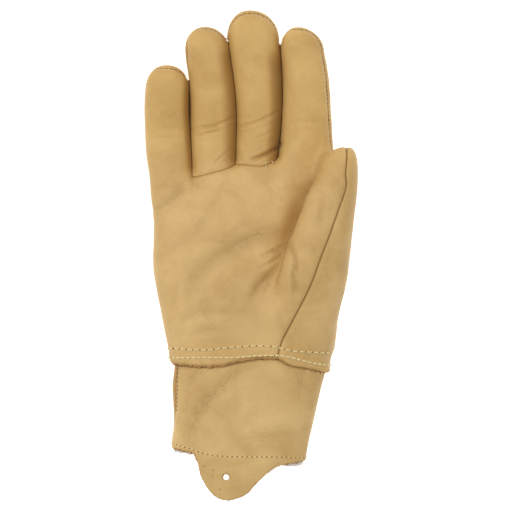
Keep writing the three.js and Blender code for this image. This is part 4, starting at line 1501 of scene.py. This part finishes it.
class GLOVE_OT_finger_fronts(bpy.types.Operator):
    """Make the set-in fronts of the ring and the middle finger"""
    bl_idname = "glove.finger_fronts"
    bl_label = "Finger fronts"

    def execute(self, context):
        sizes = context.scene.glove_sizes
        for name in FRONT_MAPS:
            region = partial(finger_front_cell, name)
            hand_panel(f"{name}_finger_front", region, sizes.fine_detail / MM, sizes)
        return {"FINISHED"}


class GLOVE_OT_back(bpy.types.Operator):
    """Make the back of the hand and of the fingers"""
    bl_idname = "glove.back"
    bl_label = "Back"

    def execute(self, context):
        sizes = context.scene.glove_sizes
        hand_panel("back", back_region, sizes.detail / MM, sizes)
        return {"FINISHED"}


class GLOVE_OT_thumb(bpy.types.Operator):
    """Make the outer side of the thumb"""
    bl_idname = "glove.thumb"
    bl_label = "Thumb"

    def execute(self, context):
        sizes = context.scene.glove_sizes
        hand_panel("thumb_outer", thumb_outer_side, sizes.fine_detail / MM * THUMB_PITCH, sizes)
        return {"FINISHED"}


class GLOVE_OT_forchettes(bpy.types.Operator):
    """Make the side walls between the fingers"""
    bl_idname = "glove.forchettes"
    bl_label = "Forchettes"

    def execute(self, context):
        sizes = context.scene.glove_sizes
        for low, high in FORCHETTE_PAIRS:
            region = partial(forchette_band, low, high)
            hand_panel(f"forchette_{low}_{high}", region, sizes.fine_detail / MM, sizes)
        return {"FINISHED"}


class GLOVE_OT_cuff(bpy.types.Operator):
    """Make the front of the cuff with its tab, and the back of the cuff"""
    bl_idname = "glove.cuff"
    bl_label = "Cuff"

    def execute(self, context):
        sizes = context.scene.glove_sizes
        hole_x, hole_y, radius = HANG_HOLE

        def front_edge(x, y):
            return np.maximum(CUFF_FRONT_MAP(x, y), radius - np.hypot(x - hole_x, y - hole_y))

        cuff_panel("cuff_front", lambda x, y, z: cuff_seam_height(x, y) - z, front_edge, sizes)
        cuff_panel("cuff_back", lambda x, y, z: z - cuff_seam_height(x, y), CUFF_BACK_MAP, sizes)
        return {"FINISHED"}


class GLOVE_OT_lining(bpy.types.Operator):
    """Make the fleece sleeve of the cuff"""
    bl_idname = "glove.lining"
    bl_label = "Lining"

    def execute(self, context):
        sizes = context.scene.glove_sizes
        wall = sizes.lining_wall / MM
        inset = (sizes.cuff_leather + sizes.seam_gap) / MM
        pile = Map(uneven((41, 0.28, 0.7), (42, 0.2, 1.6)))

        def field(x, y, z):
            deep = cuff_tube(x, y, z) + inset
            curl = pile(x + 0.7 * z, y + 0.4 * z)
            fleece = wall_of(deep, wall) + curl * smooth_step(-0.2, -1.2, deep)
            edge = LINING_MAP(x, y) + 1.4 * curl
            return soft_max(soft_max(fleece, edge, 1.2), y - CUFF_TOP_Y, EDGE_ROUNDNESS)

        points, quads = skin_of(field, *box_of("cuff_lining"), sizes.fine_detail / MM)
        piece = mesh_object("fleece_cuff_lining", points, quads, ["fleece_lining"])
        finish_piece(piece, "fleece", "cuff_lining")
        return {"FINISHED"}


class GLOVE_OT_stitching(bpy.types.Operator):
    """Sew the hem, the cuff's edge and the seams that show"""
    bl_idname = "glove.stitching"
    bl_label = "Stitching"

    def execute(self, context):
        upper, lower, tack, ends = (
            [drop_to(hand_surface, evenly(front(*line))) for line in rows]
            for rows in (HEM_UPPER, HEM_LOWER, HEM_TACK, BASE_THREAD_ENDS)
        )
        upper, lower = ([carried_round(row, row, hand_surface) for row in rows] for rows in (upper, lower))
        edge, side, peeping = (
            [drop_to(cuff_tube, evenly(front(*line))) for line in rows]
            for rows in (CUFF_STITCHES, CUFF_SIDE_STITCHES, PEEPING_STITCHES)
        )
        edge = [carried_round(row, CUFF_BACK_ROW, cuff_tube) for row in edge]
        tips = [fingertip_line(*one) for one in FINGERTIP_SEAMS]
        index_side = [fingertip_line(*INDEX_SEAM)]

        # fine: the darker seam thread, painted shade for stitches deep in seams
        hand, cuff, fine = hand_surface, cuff_tube, "seam_thread"
        sew("stitches_hem_tack", tack, hand, stitch_sizes(1.7, 0.7, 0.26, 0.2, hole=0.25))
        sew("stitches_hem_upper", upper, hand, stitch_sizes(4.25, 0.68, 0.45, 0.4, hole=0.52))
        sew("stitches_hem_lower", lower, hand, stitch_sizes(3.35, 0.72, 0.56, 0.5, hole=0.5))
        sew("stitches_finger_base", ends, hand, stitch_sizes(2.0, 0.8, 0.28, hole=0.2))
        sew("stitches_under_hem", peeping, cuff, stitch_sizes(2.0, 0.85, 0.4, hole=0.2))
        sew("stitches_cuff_edge", edge, cuff, stitch_sizes(2.95, 0.6, 0.24, arch=0.15, hole=0.48))
        sew("stitches_cuff_side", side, cuff, stitch_sizes(2.4, 0.4, 0.2, arch=0.1, hole=0.5), fine)
        sew("stitches_fingertips", tips, hand, stitch_sizes(2.8, 0.42, 0.26, 0.15, 0.1, 0.78, 0.42), fine)
        small = stitch_sizes(2.5, 0.45, 0.28, 0.2, 0.1, 0.66, 0.45)
        sew("stitches_index_side", index_side, hand, small, fine)
        return {"FINISHED"}


# The camera's sensor in millimetres, and in metres the point that it looks down on with its stated width
SENSOR_WIDTH = 36.0
VIEW_MIDDLE = (0.003, -0.0003, 0.015)


class GLOVE_OT_stage(bpy.types.Operator):
    """Set out the pale floor, the soft light and the camera above the glove"""
    bl_idname = "glove.stage"
    bl_label = "Stage"

    def execute(self, context):
        stage = context.scene.glove_stage
        build, shader, where = new_material("white_floor")
        white = (1.0, 1.0, 1.0, 1.0)
        cloud = build.grey(build.noise(where, 3.0), 0.2, 0.8)
        build.give(shader, {
            "Base Color": build.mix(cloud, rgba(white, 0.90), rgba(white, 0.93)), "Roughness": 0.9,
            "Emission Color": white, "Emission Strength": 0.62,
        })
        mesh = bpy.data.meshes.new("floor")
        mesh.from_pydata([(-3, -3, 0), (3, -3, 0), (3, 3, 0), (-3, 3, 0)], [], [(0, 1, 2, 3)])
        mesh.materials.append(bpy.data.materials["white_floor"])
        floor = placed("floor", mesh)
        floor.location.z = -0.0002

        world = bpy.data.worlds.new("soft_room")
        world.use_nodes = True
        light_inputs = world.node_tree.nodes["Background"].inputs
        light_inputs[0].default_value = white
        light_inputs[1].default_value = stage.fill
        context.scene.world = world
        for name, place, size, power in (
            ("key", (-0.95, 0.4, 1.4), 0.9, stage.key_power),
            ("right", (0.7, 0.5, 1.6), 1.2, stage.key_power * 0.75),
        ):
            light = bpy.data.lights.new(name, "AREA")
            light.size = size
            light.energy = power
            lamp = placed(name, light)
            lamp.location = place
            lamp.rotation_euler = (-Vector(place)).to_track_quat("-Z", "Y").to_euler()

        camera = bpy.data.cameras.new("front_view")
        camera.lens = stage.lens
        camera.sensor_width = SENSOR_WIDTH
        camera.clip_end = 50.0
        eye = placed("front_view", camera)
        eye_x, eye_y, sharp_z = VIEW_MIDDLE
        eye.location = (eye_x, eye_y, sharp_z + stage.view_width * stage.lens / SENSOR_WIDTH)
        context.scene.camera = eye
        context.scene.view_settings.view_transform = "Standard"
        return {"FINISHED"}


MAKING_ORDER = (
    GLOVE_OT_stage, GLOVE_OT_materials, GLOVE_OT_palm, GLOVE_OT_finger_fronts, GLOVE_OT_thumb,
    GLOVE_OT_back, GLOVE_OT_forchettes, GLOVE_OT_cuff, GLOVE_OT_lining, GLOVE_OT_stitching,
)


class GLOVE_PT_parts(bpy.types.Panel):
    """The glove's parts and sizes"""
    bl_label = "Work glove"
    bl_idname = "GLOVE_PT_parts"
    bl_space_type = "VIEW_3D"
    bl_region_type = "UI"
    bl_category = "Glove"

    def draw(self, context):
        layout = self.layout
        for group in (context.scene.glove_sizes, context.scene.glove_colours, context.scene.glove_stage):
            box = layout.box()
            for key in group.__annotations__:
                box.prop(group, key)
        for operator in MAKING_ORDER:
            layout.operator(operator.bl_idname)


CLASSES = (GloveSizes, GloveColours, GloveStage, *MAKING_ORDER, GLOVE_PT_parts)


def register():
    for one in CLASSES:
        bpy.utils.register_class(one)
    bpy.types.Scene.glove_sizes = bpy.props.PointerProperty(type=GloveSizes)
    bpy.types.Scene.glove_colours = bpy.props.PointerProperty(type=GloveColours)
    bpy.types.Scene.glove_stage = bpy.props.PointerProperty(type=GloveStage)


def unregister():
    del bpy.types.Scene.glove_stage
    del bpy.types.Scene.glove_colours
    del bpy.types.Scene.glove_sizes
    for one in reversed(CLASSES):
        bpy.utils.unregister_class(one)


def main():
    register()
    bpy.ops.glove.stage()
    bpy.ops.glove.materials()
    bpy.ops.glove.palm()
    bpy.ops.glove.finger_fronts()
    bpy.ops.glove.thumb()
    bpy.ops.glove.back()
    bpy.ops.glove.forchettes()
    bpy.ops.glove.cuff()
    bpy.ops.glove.lining()
    bpy.ops.glove.stitching()


if __name__ == "__main__":
    main()
